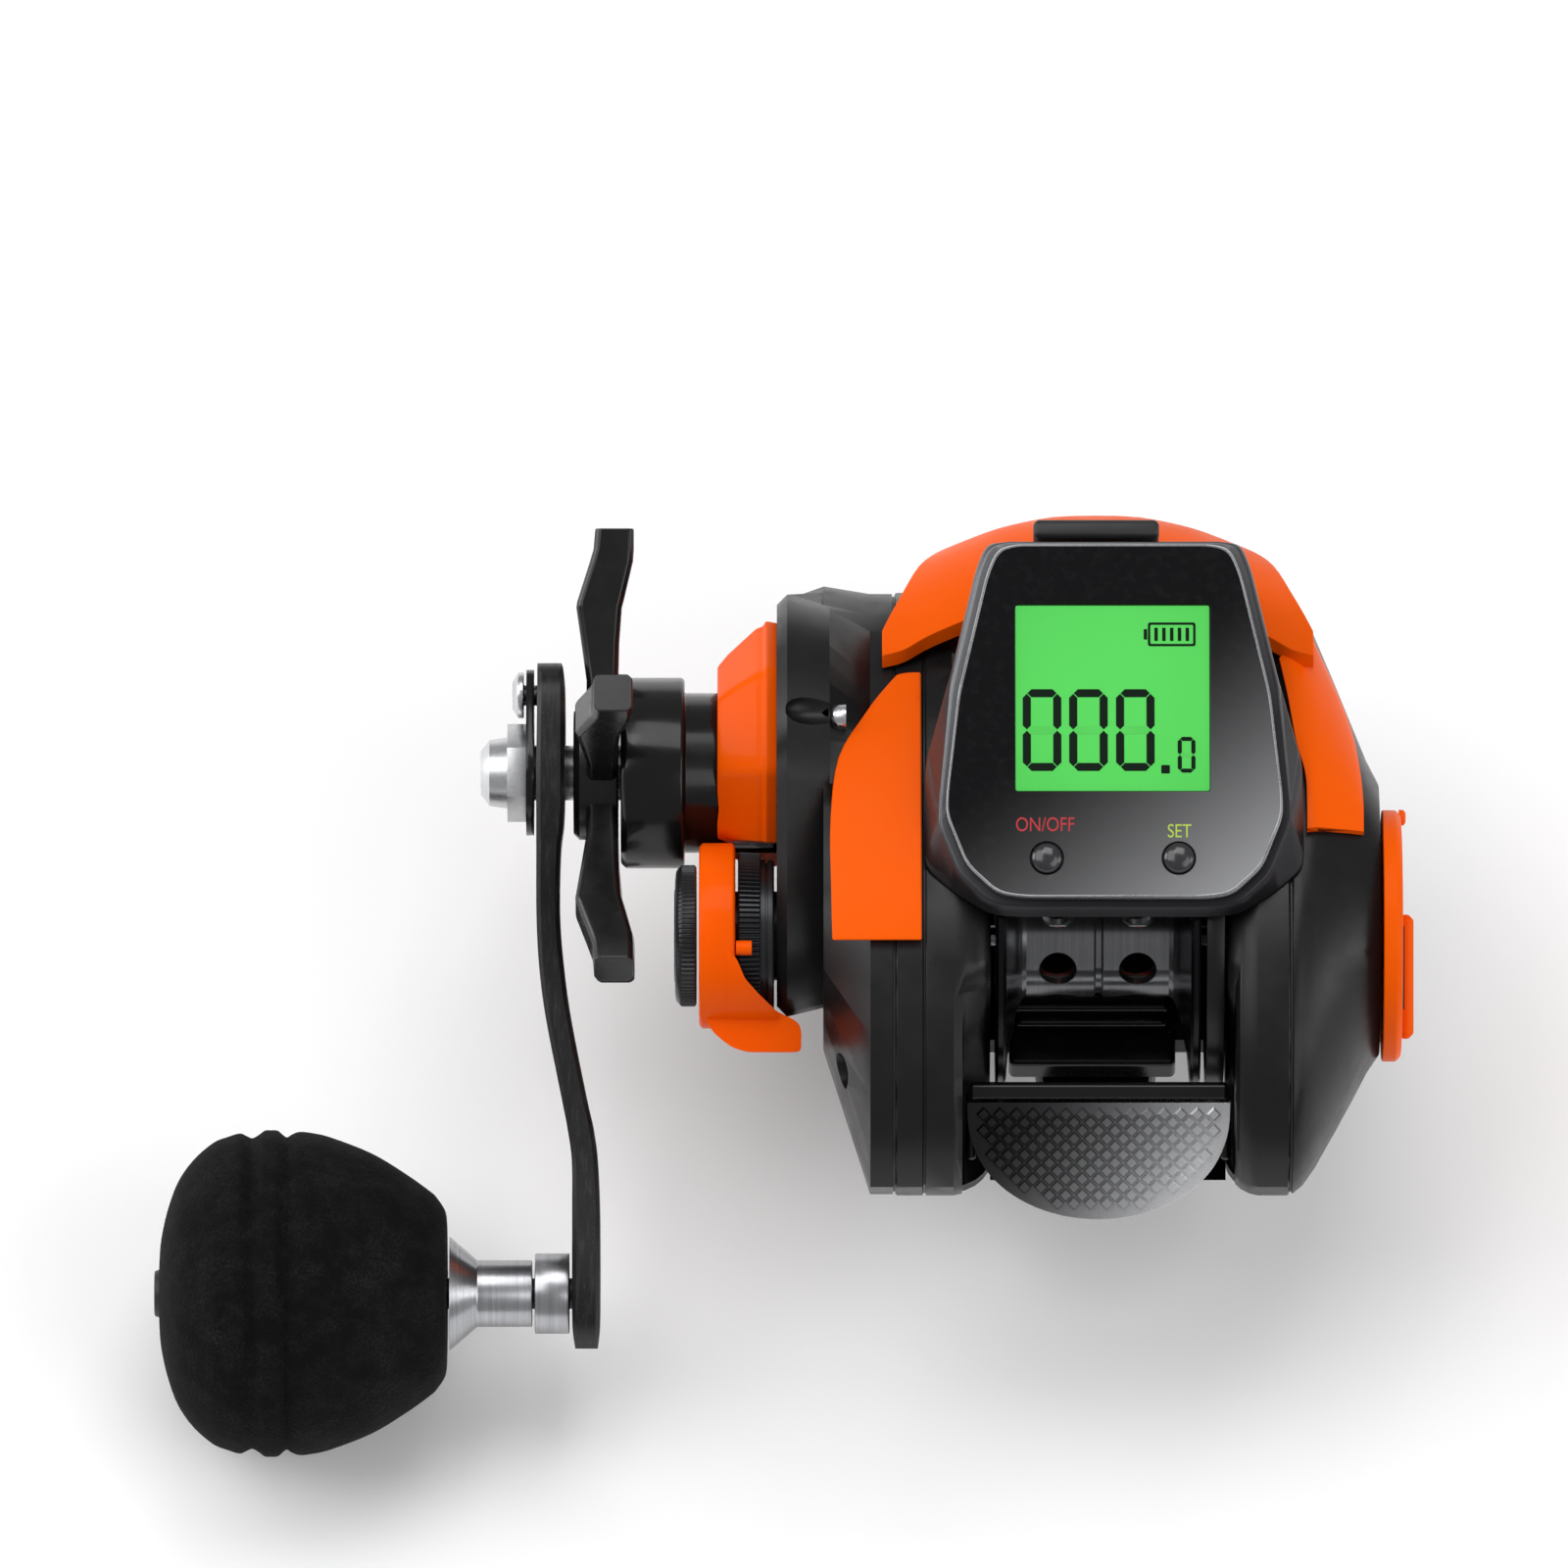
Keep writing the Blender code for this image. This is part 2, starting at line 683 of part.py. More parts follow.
def make_gear_side_cover():
    """The cup that holds the gears. Its nose follows the drive shaft and the cast control."""
    middle = (COVER_FLARE_Y, BODY_Z)
    cover = loft_x("gear_side_cover", cover_stations(), "black", middle)
    nose = loft_x(
        "cover_nose",
        [
            (cover_flare + COVER_EDGE_WIDTH * 0.6, hull_outline(COVER_EDGE_WIDTH)),
            (cover_nose, hull_outline()),
            (cover_out, hull_outline(COVER_EDGE_WIDTH)),
        ],
        None,
        middle,
    )
    joined(cover, nose)
    room_outline = egg(COVER_FLARE_Y, BODY_Z, COVER_FLARE_REACH - WALL, BODY_HEIGHT - WALL * 1.5)
    room = loft_x(
        "cover_room",
        [(cover_in + WALL, room_outline), (cover_flare + WALL, room_outline)],
        None,
        middle,
    )
    cast_tube = turned(
        "cast_tube", rod(cast_tube_end, cover_nose, CAST_TUBE_RADIUS), None, SPOOL_Y, SPOOL_Z, SMALL_STEPS
    )
    joined(cover, cast_tube)
    inside = cover_in + WALL
    plate = cover_out + COVER_PLATE
    gear_end = cover_flare + SMALL_EDGE * 2
    gear_pocket = turned(
        "gear_pocket",
        [
            (inside, 0.0), (inside, DRAG_RADIUS + WALL), (gear_end, DRAG_RADIUS + WALL),
            (gear_end, gear_room), (plate, gear_room), (plate, SHAFT_RADIUS + GAP),
            (cover_out - WALL, SHAFT_RADIUS + GAP), (cover_out - WALL, 0.0),
        ],
        None, drive_y, drive_z,
    )
    pinion_pocket = turned(
        "pinion_pocket",
        [
            (inside + SMALL_EDGE, 0.0), (inside + SMALL_EDGE, CAST_TUBE_RADIUS - GAP),
            (plate + SMALL_EDGE, CAST_TUBE_RADIUS - GAP), (plate + SMALL_EDGE, SPOOL_SHAFT_RADIUS + GAP),
            (cast_tube_end - WALL, SPOOL_SHAFT_RADIUS + GAP), (cast_tube_end - WALL, 0.0),
        ],
        None, SPOOL_Y, SPOOL_Z, SMALL_STEPS,
    )
    cut(cover, room, gear_pocket, pinion_pocket)
    recess = round_cutter(
        "screw_recess", cover_out, cover_rim - COVER_SCREW_SEAT, COVER_SCREW_RADIUS + GAP,
        cover_screw_y, cover_screw_z, SMALL_STEPS,
    )
    shank_bore = round_cutter(
        "cover_shank_bore", cover_out, inside, SCREW_SHANK_RADIUS + GAP, cover_screw_y, cover_screw_z, 12
    )
    cut(cover, recess, shank_bore)
    return rounded(cover)


def make_cover_screw():
    head = [
        (cover_screw_end, 0.0),
        (cover_screw_end, SCREW_SHANK_RADIUS),
        (cover_screw_head, SCREW_SHANK_RADIUS),
        (cover_screw_head, COVER_SCREW_RADIUS),
        (cover_screw_head - SCREW_HEAD_WIDTH * 0.5, COVER_SCREW_RADIUS),
        (cover_screw_head - SCREW_HEAD_WIDTH * 0.8, COVER_SCREW_RADIUS * 0.6),
        (cover_screw_head - SCREW_HEAD_WIDTH * 0.8, 0.0),
    ]
    rounded(turned("cover_screw", head, "steel", cover_screw_y, cover_screw_z, SMALL_STEPS - 4))


# Shares of the palm side's width, with how much of the body's outline is left there
PALM_SHARES = [
    (0.0, 1.0), (0.12, 0.965), (0.26, 0.895), (0.51, 0.735), (0.70, 0.61), (0.86, 0.50), (1.0, 0.425),
]


def palm_section(share):
    """The middle, the reach and the height of the palm side's dome at this share of its width."""
    for (near, near_left), (far, far_left) in zip(PALM_SHARES, PALM_SHARES[1:]):
        if share <= far:
            left = near_left + (far_left - near_left) * (share - near) / (far - near)
            break
    middle = BODY_Y + (SPOOL_Y - BODY_Y) * (1 - left)
    return middle, BODY_REACH * left, BODY_HEIGHT * (1 - (1 - left) * PALM_LOW_SHARE)


def palm_outline(share, inset=0.0):
    middle, reach, height = palm_section(share)
    reach -= inset
    outline = egg(middle, BODY_Z, reach, min(height, reach) - inset)
    return [(y, min(z, top_deck)) for y, z in outline]


def make_palm_side_cover():
    shares = [share for share, _ in PALM_SHARES]
    middle = (SPOOL_Y, SPOOL_Z)
    stations = [(palm_in + PALM_WIDTH * share, palm_outline(share)) for share in shares]
    cover = loft_x("palm_side_cover", stations, "black", middle)
    inner_width = PALM_WIDTH - WALL * 2
    inner = [(palm_in - WALL, palm_outline(0.0, WALL))]
    inner += [(palm_in + inner_width * share, palm_outline(share, WALL)) for share in shares[:-1]]
    room = loft_x("palm_room", inner, None, middle)
    bore = round_cutter(
        "dial_bore", palm_in, palm_out + WALL, SPOOL_BEARING_RADIUS + GAP, SPOOL_Y, SPOOL_Z
    )
    cut(cover, room, bore)
    return rounded(cover)


def arc_strip(reach, height, low, high, thickness, steps):
    """A curved strip seen along X: its outer arc, then its inner arc back."""
    outer = []
    inner = []
    for index in range(steps + 1):
        angle = low + (high - low) * index / steps
        outer.append((BODY_Y + reach * math.cos(angle), BODY_Z + height * math.sin(angle)))
        inner.append((
            BODY_Y + (reach - thickness) * math.cos(angle),
            BODY_Z + (height - thickness) * math.sin(angle),
        ))
    return outer + inner[::-1]


# From the middle out: shares of the half width and of the reach, then the arc's low and high degrees
HOOD_SHARES = [
    (0.20, 0.990, 14.0, 51.5), (0.45, 0.960, 14.0, 52.5), (0.68, 0.910, 15.0, 54.0),
    (0.80, 0.880, 22.0, 55.0), (0.90, 0.855, 37.0, 56.5), (1.00, 0.840, 50.0, 57.0),
]
HOOD_DROP_SHARE = 0.65


def make_hood():
    """The shell over the nose. It narrows to its sides, where it laps the walls."""
    rings = []
    left_half = [(-share, *rest) for share, *rest in reversed(HOOD_SHARES)]
    for share, left, low, high in left_half + HOOD_SHARES:
        reach = hood_reach * left
        height = hood_height * (1 - (1 - left) * HOOD_DROP_SHARE)
        strip = arc_strip(reach, height, math.radians(low), math.radians(high), HOOD_THICKNESS, 8)
        rings.append([(HOOD_HALF_WIDTH * share, y, z) for y, z in strip])
    return rounded(lofted("front_hood", rings, "orange"))


def make_boss():
    """The faceted ring round the clutch housing: tall toward the top, notched for the cast control."""
    shares = (1.0, 0.93, 0.85, 0.74, 0.62, 0.74, 0.85, 0.93)
    rings = []
    for x, reach in ((boss_in, 1.0), (boss_in - BOSS_WIDTH * 0.35, 0.98), (boss_out, 0.72)):
        ring = []
        for index, share in enumerate(shares):
            angle = CRANK_ANGLE + math.pi + math.tau * index / len(shares)
            radius = max(BOSS_TOP * share * reach, NECK_RADIUS + WALL)
            ring.append((x, drive_y + radius * math.cos(angle), drive_z + radius * math.sin(angle)))
        rings.append(ring)
    boss = lofted("gear_side_boss", rings, "bright_orange")
    low = boss_out - WALL
    high = boss_in + WALL
    bore = round_cutter("boss_bore", low, high, NECK_RADIUS + GAP, drive_y, drive_z)
    notch = round_cutter("boss_notch", low, high, LEVER_RADIUS + GAP, SPOOL_Y, SPOOL_Z)
    cut(boss, bore, notch)
    return bevelled(boss)


def make_clutch_housing():
    wide = CLUTCH_RADIUS + GAP
    narrow = SHAFT_RADIUS + GAP
    profile = [
        (boss_in, NECK_RADIUS),
        (sleeve_in, NECK_RADIUS),
        (sleeve_in, SLEEVE_RADIUS - SMALL_EDGE),
        (sleeve_in - SMALL_EDGE, SLEEVE_RADIUS),
        (sleeve_out + SOFT_EDGE, SLEEVE_RADIUS),
        (sleeve_out, SLEEVE_RADIUS - SOFT_EDGE),
        (sleeve_out, narrow),
        (sleeve_out + WALL, narrow),
        (sleeve_out + WALL, wide),
        (boss_in, wide),
    ]
    rounded(turned("clutch_housing", profile, "gloss_black", drive_y, drive_z))
    clutch_in = boss_in - GAP
    ring = tube(clutch_in - CLUTCH_WIDTH, clutch_in, CLUTCH_RADIUS, SHAFT_RADIUS + GAP)
    rounded(turned("anti_reverse_bearing", ring, "steel", drive_y, drive_z))


def make_drive_train():
    shaft_end = retainer_in - NUT_WIDTH + GAP
    inner_end = wall_left + SHAFT_BEARING_WIDTH
    shaft = turned("drive_shaft", rod(shaft_end, inner_end, SHAFT_RADIUS), "steel", drive_y, drive_z)
    rounded(shaft)
    at_shaft = (drive_y, drive_z)
    bore = circle(SHAFT_RADIUS + GAP, SMALL_STEPS)
    teeth = gear_outline(DRIVE_TEETH, GEAR_MODULE)
    flat("drive_gear", [teeth, bore], gear_out, gear_in, "brass", *at_shaft)
    rounded(turned(
        "drag_washers", tube(drag_out, drag_out + DRAG_WIDTH, DRAG_RADIUS, SHAFT_RADIUS + GAP),
        "fibre", *at_shaft,
    ))
    flat(
        "guide_drive_gear", [gear_outline(GUIDE_DRIVE_TEETH, GUIDE_MODULE), bore],
        guide_gear_out, guide_gear_in, "ceramic", *at_shaft,
    )
    bearing = tube(
        wall_left + GAP, wall_left + SHAFT_BEARING_WIDTH, SHAFT_BEARING_RADIUS, SHAFT_RADIUS + GAP
    )
    rounded(turned("shaft_bearing", bearing, "steel", *at_shaft))
    spool_bore = circle(SPOOL_SHAFT_RADIUS + GAP, SMALL_STEPS)
    phase = mesh_phase(DRIVE_ANGLE + math.pi, DRIVE_TEETH, PINION_TEETH)
    pinion = [turn_point(point, phase) for point in gear_outline(PINION_TEETH, GEAR_MODULE)]
    pinion_in = gear_in + DRIVE_GEAR_WIDTH / 2
    flat("pinion_gear", [pinion, spool_bore], gear_out, pinion_in, "brass", SPOOL_Y, SPOOL_Z)


def mesh_phase(toward, teeth, next_teeth):
    """The turn that puts the next gear's gap on this gear's tooth, seen toward the next gear."""
    return toward + math.pi - math.pi / next_teeth + toward * teeth / next_teeth


def turn_point(point, angle):
    return (
        point[0] * math.cos(angle) - point[1] * math.sin(angle),
        point[0] * math.sin(angle) + point[1] * math.cos(angle),
    )


def make_spool():
    bore = BARREL_RADIUS - BARREL_WALL
    slope = FLANGE_WIDTH * 1.6
    web = FLANGE_WIDTH
    hole = SPOOL_SHAFT_RADIUS + GAP
    middle = (spool_left + spool_right) / 2
    groove = FLANGE_WIDTH * 0.5
    profile = [
        (spool_right, bore),
        (spool_right, FLANGE_RADIUS),
        (spool_right - FLANGE_WIDTH, FLANGE_RADIUS),
        (spool_right - FLANGE_WIDTH - slope, BARREL_RADIUS),
        (middle + groove, BARREL_RADIUS),
        (middle, BARREL_RADIUS - groove),
        (middle - groove, BARREL_RADIUS),
        (spool_left + FLANGE_WIDTH + slope, BARREL_RADIUS),
        (spool_left + FLANGE_WIDTH, FLANGE_RADIUS),
        (spool_left, FLANGE_RADIUS),
        (spool_left, bore),
        (middle - web, bore),
        (middle - web, hole),
        (middle + web, hole),
        (middle + web, bore),
    ]
    spool = turned("spool", profile, "dark_metal", SPOOL_Y, SPOOL_Z)
    row = (spool_right - spool_left) * 0.195
    tools = []
    for x in (middle - row, middle + row):
        for index in range(SPOOL_HOLES // 2):
            turn = Matrix.Rotation(math.tau * index / SPOOL_HOLES, 3, "X")
            tools.append(turned(
                "spool_hole",
                rod(-FLANGE_RADIUS / 2, FLANGE_RADIUS / 2, SPOOL_HOLE_RADIUS),
                None, SPOOL_Y, SPOOL_Z, 10, turn,
            ))
            tools[-1].location.x = x
    cut(spool, *tools)
    rounded(spool)
    rounded(turned(
        "spool_shaft", rod(cast_tube_end + GAP, palm_in + SPOOL_BEARING_WIDTH, SPOOL_SHAFT_RADIUS),
        "steel", SPOOL_Y, SPOOL_Z, SMALL_STEPS,
    ))
    starts = {
        "spool_bearing_left": wall_left + GAP,
        "spool_bearing_right": wall_right - SPOOL_BEARING_WIDTH,
    }
    for name, start in starts.items():
        ring = tube(start, start + SPOOL_BEARING_WIDTH - GAP, SPOOL_BEARING_RADIUS, hole)
        rounded(turned(name, ring, "steel", SPOOL_Y, SPOOL_Z, SMALL_STEPS))
    magnet = tube(opening_left - WALL, opening_left - GAP, SPOOL_SHAFT_RADIUS * 2.2, hole)
    rounded(turned("sensor_magnet", magnet, "magnet", SPOOL_Y, SPOOL_Z, SMALL_STEPS))
    ring = tube(spool_right + GAP * 2, opening_right - GAP, FLANGE_RADIUS, FLANGE_RADIUS - WALL)
    rounded(turned("palm_ring", ring, "gloss_black", SPOOL_Y, SPOOL_Z))


def round_the_crank(x, along, aside):
    """A point given along the crank's direction and across it, from the drive shaft."""
    return (
        x,
        drive_y + along * math.cos(CRANK_ANGLE) - aside * math.sin(CRANK_ANGLE),
        drive_z + along * math.sin(CRANK_ANGLE) + aside * math.cos(CRANK_ANGLE),
    )


def make_star():
    hub = [
        (star_in, STAR_HUB_RADIUS),
        (star_out + SOFT_EDGE, STAR_HUB_RADIUS),
        (star_out, STAR_HUB_RADIUS - SOFT_EDGE),
        (star_out, SHAFT_RADIUS + GAP),
        (star_in, SHAFT_RADIUS + GAP),
    ]
    star = turned("star_drag", hub, "black", drive_y, drive_z, origin_x=star_in)
    root_x = (star_in + star_out) / 2
    # Shares of the reach, of the bend toward the reel, of the arm's width and of its thickness
    arm_shares = [
        (0.20, 0.0, 1.10, 1.00),
        (0.42, 0.05, 0.92, 0.92),
        (0.68, 0.40, 0.84, 0.98),
        (0.88, 0.95, 0.94, 1.06),
        (0.97, 1.05, 0.84, 0.98),
        (1.00, 1.05, 0.55, 0.70),
    ]
    arms = []
    for index in range(STAR_ARMS):
        angle = CRANK_ANGLE + math.pi + math.tau * index / STAR_ARMS
        out = Vector((0.0, math.cos(angle), math.sin(angle)))
        side = Vector((0.0, -math.sin(angle), math.cos(angle)))
        rings = []
        for reach, bend, width, thickness in arm_shares:
            middle = Vector((root_x + STAR_BEND * bend, drive_y, drive_z)) + out * STAR_REACH * reach
            half = side * STAR_ARM_WIDTH * width / 2
            deep = Vector((STAR_ARM_THICKNESS * thickness / 2, 0.0, 0.0))
            rings.append([
                middle + half - deep * 0.6, middle + half * 0.7 - deep, middle - half * 0.7 - deep,
                middle - half - deep * 0.6, middle - half + deep * 0.6, middle - half * 0.7 + deep,
                middle + half * 0.7 + deep, middle + half + deep * 0.6,
            ])
        arms.append(lofted("star_arm", rings, None))
    joined(star, *arms)
    bore = round_cutter("star_bore", star_out - WALL, star_in + WALL, SHAFT_RADIUS + GAP, drive_y, drive_z)
    cut(star, bore)
    return rounded(star)


def make_handle_arm():
    """Each station is a share of the crank radius, a share of the step to the reel and a half width."""
    wide = ARM_HUB_RADIUS
    tail = -ARM_TAIL / CRANK_RADIUS
    tip = 1 + ARM_END_RADIUS / CRANK_RADIUS
    arm_shares = [
        (tail, 0.0, wide * 0.42),
        (tail * 0.93, 0.0, wide * 0.66),
        (tail * 0.70, 0.0, wide * 0.90),
        (0.0, 0.0, wide),
        (0.14, 0.0, wide * 0.84),
        (0.32, 0.02, ARM_NECK_HALF * 1.06),
        (0.47, 0.12, ARM_NECK_HALF),
        (0.60, 0.60, ARM_NECK_HALF),
        (0.70, 0.93, ARM_NECK_HALF * 1.02),
        (0.80, 1.0, ARM_NECK_HALF * 1.12),
        (0.92, 1.0, ARM_END_RADIUS * 0.92),
        (1.0, 1.0, ARM_END_RADIUS),
        (tip * 0.98, 1.0, ARM_END_RADIUS * 0.70),
        (tip, 1.0, ARM_END_RADIUS * 0.30),
    ]
    rings = []
    edge = ARM_THICKNESS * 0.16
    for along, step, half in arm_shares:
        near = arm_in + ARM_OFFSET * step
        far = near - ARM_THICKNESS
        reach = CRANK_RADIUS * along
        rings.append([
            round_the_crank(near, reach, half - edge),
            round_the_crank(near - edge, reach, half),
            round_the_crank(far + edge, reach, half),
            round_the_crank(far, reach, half - edge),
            round_the_crank(far, reach, edge - half),
            round_the_crank(far + edge, reach, -half),
            round_the_crank(near - edge, reach, -half),
            round_the_crank(near, reach, edge - half),
        ])
    arm = lofted("handle_arm", rings, "black", (arm_in, drive_y, drive_z))
    knob_at = round_the_crank(0.0, CRANK_RADIUS, 0.0)[1:]
    screw_at = round_the_crank(0.0, -screw_out, 0.0)[1:]
    low = arm_out - WALL
    high = arm_in + ARM_OFFSET + WALL
    screw_end = arm_in - WALL / 2
    cut(
        arm,
        round_cutter("arm_bore", low, high, SHAFT_RADIUS + GAP, drive_y, drive_z),
        round_cutter("spindle_bore", low, high, SPINDLE_RADIUS + GAP, *knob_at, SMALL_STEPS),
        round_cutter("screw_bore", low, screw_end, SCREW_SHANK_RADIUS + GAP, *screw_at, 12),
    )
    return rounded(arm)


def make_handle_fastening():
    hexagon = circle(NUT_RADIUS, 6, phase=CRANK_ANGLE)
    dome_in = retainer_in - NUT_WIDTH
    nut = flat("handle_nut", [hexagon], dome_in - GAP, retainer_in, "steel", drive_y, drive_z)
    dome = turned(
        "nut_dome",
        [
            (dome_in, 0.0),
            (dome_in, NUT_DOME_RADIUS),
            (dome_in - NUT_DOME_WIDTH * 0.7, NUT_DOME_RADIUS * 0.92),
            (dome_in - NUT_DOME_WIDTH, NUT_DOME_RADIUS * 0.6),
            (dome_in - NUT_DOME_WIDTH, 0.0),
        ],
        None, drive_y, drive_z, SMALL_STEPS,
    )
    hole = round_cutter(
        "nut_bore", retainer_in - NUT_WIDTH, retainer_in + WALL, SHAFT_RADIUS + GAP, drive_y, drive_z
    )
    rounded(cut(joined(nut, dome), hole))
    rim = []
    for index in range(24):
        angle = math.tau * index / 24
        away = Vector((math.cos(angle), math.sin(angle)))
        out = -Vector((math.cos(CRANK_ANGLE), math.sin(CRANK_ANGLE)))
        ends = ((Vector((0.0, 0.0)), NUT_RADIUS + WALL), (out * screw_out, SCREW_HEAD_RADIUS + GAP))
        centre, radius = max(ends, key=lambda end: end[0].dot(away) + end[1])
        rim.append(tuple(centre + away * radius))
    screw_y, screw_z = round_the_crank(0.0, -screw_out, 0.0)[1:]
    screw_hole = circle(
        SCREW_SHANK_RADIUS + GAP, 12, (screw_y - drive_y, screw_z - drive_z)
    )
    nut_hole = circle(NUT_RADIUS + GAP, 6, phase=CRANK_ANGLE)
    retainer_out = retainer_in - RETAINER_THICKNESS
    flat("nut_retainer", [rim, nut_hole, screw_hole], retainer_out, retainer_in, "gloss_black",
         drive_y, drive_z)
    head_in = retainer_out - GAP
    head = [
        (arm_in - WALL, 0.0),
        (arm_in - WALL, SCREW_SHANK_RADIUS),
        (head_in, SCREW_SHANK_RADIUS),
        (head_in, SCREW_HEAD_RADIUS),
        (head_in - SCREW_HEAD_WIDTH / 2, SCREW_HEAD_RADIUS),
        (head_in - SCREW_HEAD_WIDTH, SCREW_HEAD_RADIUS * 0.6),
        (head_in - SCREW_HEAD_WIDTH, 0.0),
    ]
    rounded(turned("retainer_screw", head, "steel", screw_y, screw_z, SMALL_STEPS))


def make_knob():
    y, z = round_the_crank(0.0, CRANK_RADIUS, 0.0)[1:]
    ring_in = arm_out + ARM_OFFSET - GAP
    ring_out = ring_in - SPINDLE_RING_WIDTH
    collar_in = ring_out - GAP
    cone_in = collar_in - COLLAR_WIDTH
    cone_out = cone_in - COLLAR_CONE_WIDTH
    knob_in = cone_out - GAP
    knob_out = knob_in - KNOB_LENGTH
    bore = SPINDLE_RADIUS + GAP
    room = KNOB_BEARING_RADIUS + GAP
    spindle = [
        (arm_in + ARM_OFFSET - GAP, 0.0),
        (arm_in + ARM_OFFSET - GAP, SPINDLE_RADIUS),
        (ring_in, SPINDLE_RADIUS),
        (ring_in, SPINDLE_RING_RADIUS),
        (ring_out, SPINDLE_RING_RADIUS),
        (ring_out, SPINDLE_RADIUS),
        (knob_out + KNOB_LENGTH * 0.12, SPINDLE_RADIUS),
        (knob_out + KNOB_LENGTH * 0.12, 0.0),
    ]
    rounded(turned("knob_spindle", spindle, "steel", y, z, SMALL_STEPS))
    collar = [
        (collar_in, COLLAR_RADIUS),
        (cone_in, COLLAR_RADIUS),
        (cone_out, COLLAR_CONE_RADIUS),
        (cone_out, bore),
        (collar_in, bore),
    ]
    rounded(turned("knob_collar", collar, "steel", y, z, SMALL_STEPS, origin_x=collar_in))
    # Shares of the knob's length from its outer end, with shares of its radius
    grip_shares = [
        (1.0, 0.42), (0.985, 0.52), (0.94, 0.62), (0.84, 0.75), (0.73, 0.865), (0.59, 0.957),
        (0.47, 0.99), (0.435, 0.955), (0.40, 1.0), (0.35, 1.0), (0.312, 0.955), (0.27, 0.975),
        (0.17, 0.925), (0.09, 0.785), (0.035, 0.575), (0.0, 0.30),
    ]
    grip = [(knob_out + KNOB_LENGTH * share, KNOB_RADIUS * wide) for share, wide in grip_shares]
    cap_room = knob_out + KNOB_CAP_WIDTH
    profile = [(knob_in, room), *grip, (knob_out, KNOB_CAP_RADIUS + GAP)]
    profile += [(cap_room, KNOB_CAP_RADIUS + GAP), (cap_room, room)]
    rounded(turned("knob_grip", profile, "foam", y, z, origin_x=knob_in))
    cap = [
        (cap_room - GAP, 0.0),
        (cap_room - GAP, KNOB_CAP_RADIUS),
        (knob_out - KNOB_CAP_WIDTH / 2, KNOB_CAP_RADIUS * 0.85),
        (knob_out - KNOB_CAP_WIDTH / 2, 0.0),
    ]
    rounded(turned("knob_cap", cap, "black", y, z, SMALL_STEPS))
    ends = {"knob_bearing_inner": knob_in - KNOB_BEARING_WIDTH - GAP,
            "knob_bearing_outer": knob_out + KNOB_LENGTH * 0.2}
    for name, start in ends.items():
        ring = tube(start, start + KNOB_BEARING_WIDTH, KNOB_BEARING_RADIUS, bore)
        rounded(turned(name, ring, "steel", y, z, SMALL_STEPS))


def make_cast_control():
    bore = CAST_TUBE_RADIUS + GAP
    barrel_out = cast_barrel_in - CAST_BARREL_WIDTH
    barrel = [
        (cast_in, CAST_COLLAR_RADIUS),
        (cast_barrel_in, CAST_COLLAR_RADIUS),
        (cast_barrel_in, CAST_BARREL_RADIUS),
        (barrel_out, CAST_BARREL_RADIUS),
        (barrel_out, bore),
        (cast_in, bore),
    ]
    rounded(turned("cast_barrel", barrel, "dark_metal", SPOOL_Y, SPOOL_Z))
    lever_out = lever_in - LEVER_WIDTH
    lever = turned(
        "fall_lever", tube(lever_out, lever_in, LEVER_RADIUS, bore), "bright_orange", SPOOL_Y, SPOOL_Z,
        origin_x=lever_in,
    )
    out = Vector((0.0, math.cos(CRANK_ANGLE), math.sin(CRANK_ANGLE)))
    side = Vector((0.0, -math.sin(CRANK_ANGLE), math.cos(CRANK_ANGLE)))
    axis = Vector((0.0, SPOOL_Y, SPOOL_Z))
    tab_far = lever_out + LEVER_TAB_WIDTH
    # Shares of the tab's width from the crank side, its inner radius and its outer radius
    tab_shares = [
        (0.0, LEVER_RADIUS * 0.62, LEVER_RADIUS * 1.02),
        (0.12, LEVER_RADIUS * 0.62, LEVER_TAB_REACH * 0.93),
        (0.28, LEVER_RADIUS * 0.66, LEVER_TAB_REACH),
        (0.355, LEVER_RADIUS * 0.95, LEVER_TAB_REACH),
        (0.92, LEVER_RADIUS * 0.98, LEVER_TAB_REACH),
        (1.0, LEVER_RADIUS * 1.05, LEVER_TAB_REACH * 0.96),
    ]
    rings = []
    for share, low, high in tab_shares:
        across = Vector((lever_out + (tab_far - lever_out) * share, 0.0, 0.0))
        half = side * LEVER_RADIUS * 0.45
        rings.append([
            axis + across + out * low - half, axis + across + out * high - half,
            axis + across + out * high + half, axis + across + out * low + half,
        ])
    tab = lofted("lever_tab", rings, None)
    rounded(bevelled(joined(lever, tab), SMALL_EDGE))
    cap_out = cast_cap_in - CAST_CAP_WIDTH
    cap = [
        (cast_cap_in, 0.0),
        (cast_cap_in, CAST_CAP_RADIUS),
        (cap_out + SOFT_EDGE, CAST_CAP_RADIUS),
        (cap_out, CAST_CAP_RADIUS - SOFT_EDGE),
        (cap_out, 0.0),
    ]
    rounded(turned("cast_cap", cap, "black", SPOOL_Y, SPOOL_Z, origin_x=cast_cap_in))


pod_frame = Matrix.Translation((POD_X, POD_Y, pod_z)) @ Matrix.Rotation(POD_TILT, 4, "X")
# Half outline of the face, front to rear: shares of the half width and of the half length
FACE_SHARES = [
    (0.60, 1.0), (0.70, 0.97), (0.76, 0.84), (0.93, 0.19), (1.0, -0.38),
    (1.0, -0.49), (0.88, -0.76), (0.70, -0.91), (0.55, -0.93),
]
SKIRT_SHARES = [
    (0.62, 1.03), (0.74, 1.0), (0.80, 0.87), (0.97, 0.34), (1.12, -0.15),
    (1.13, -0.72), (0.94, -0.89), (0.72, -1.02), (0.56, -1.03),
]


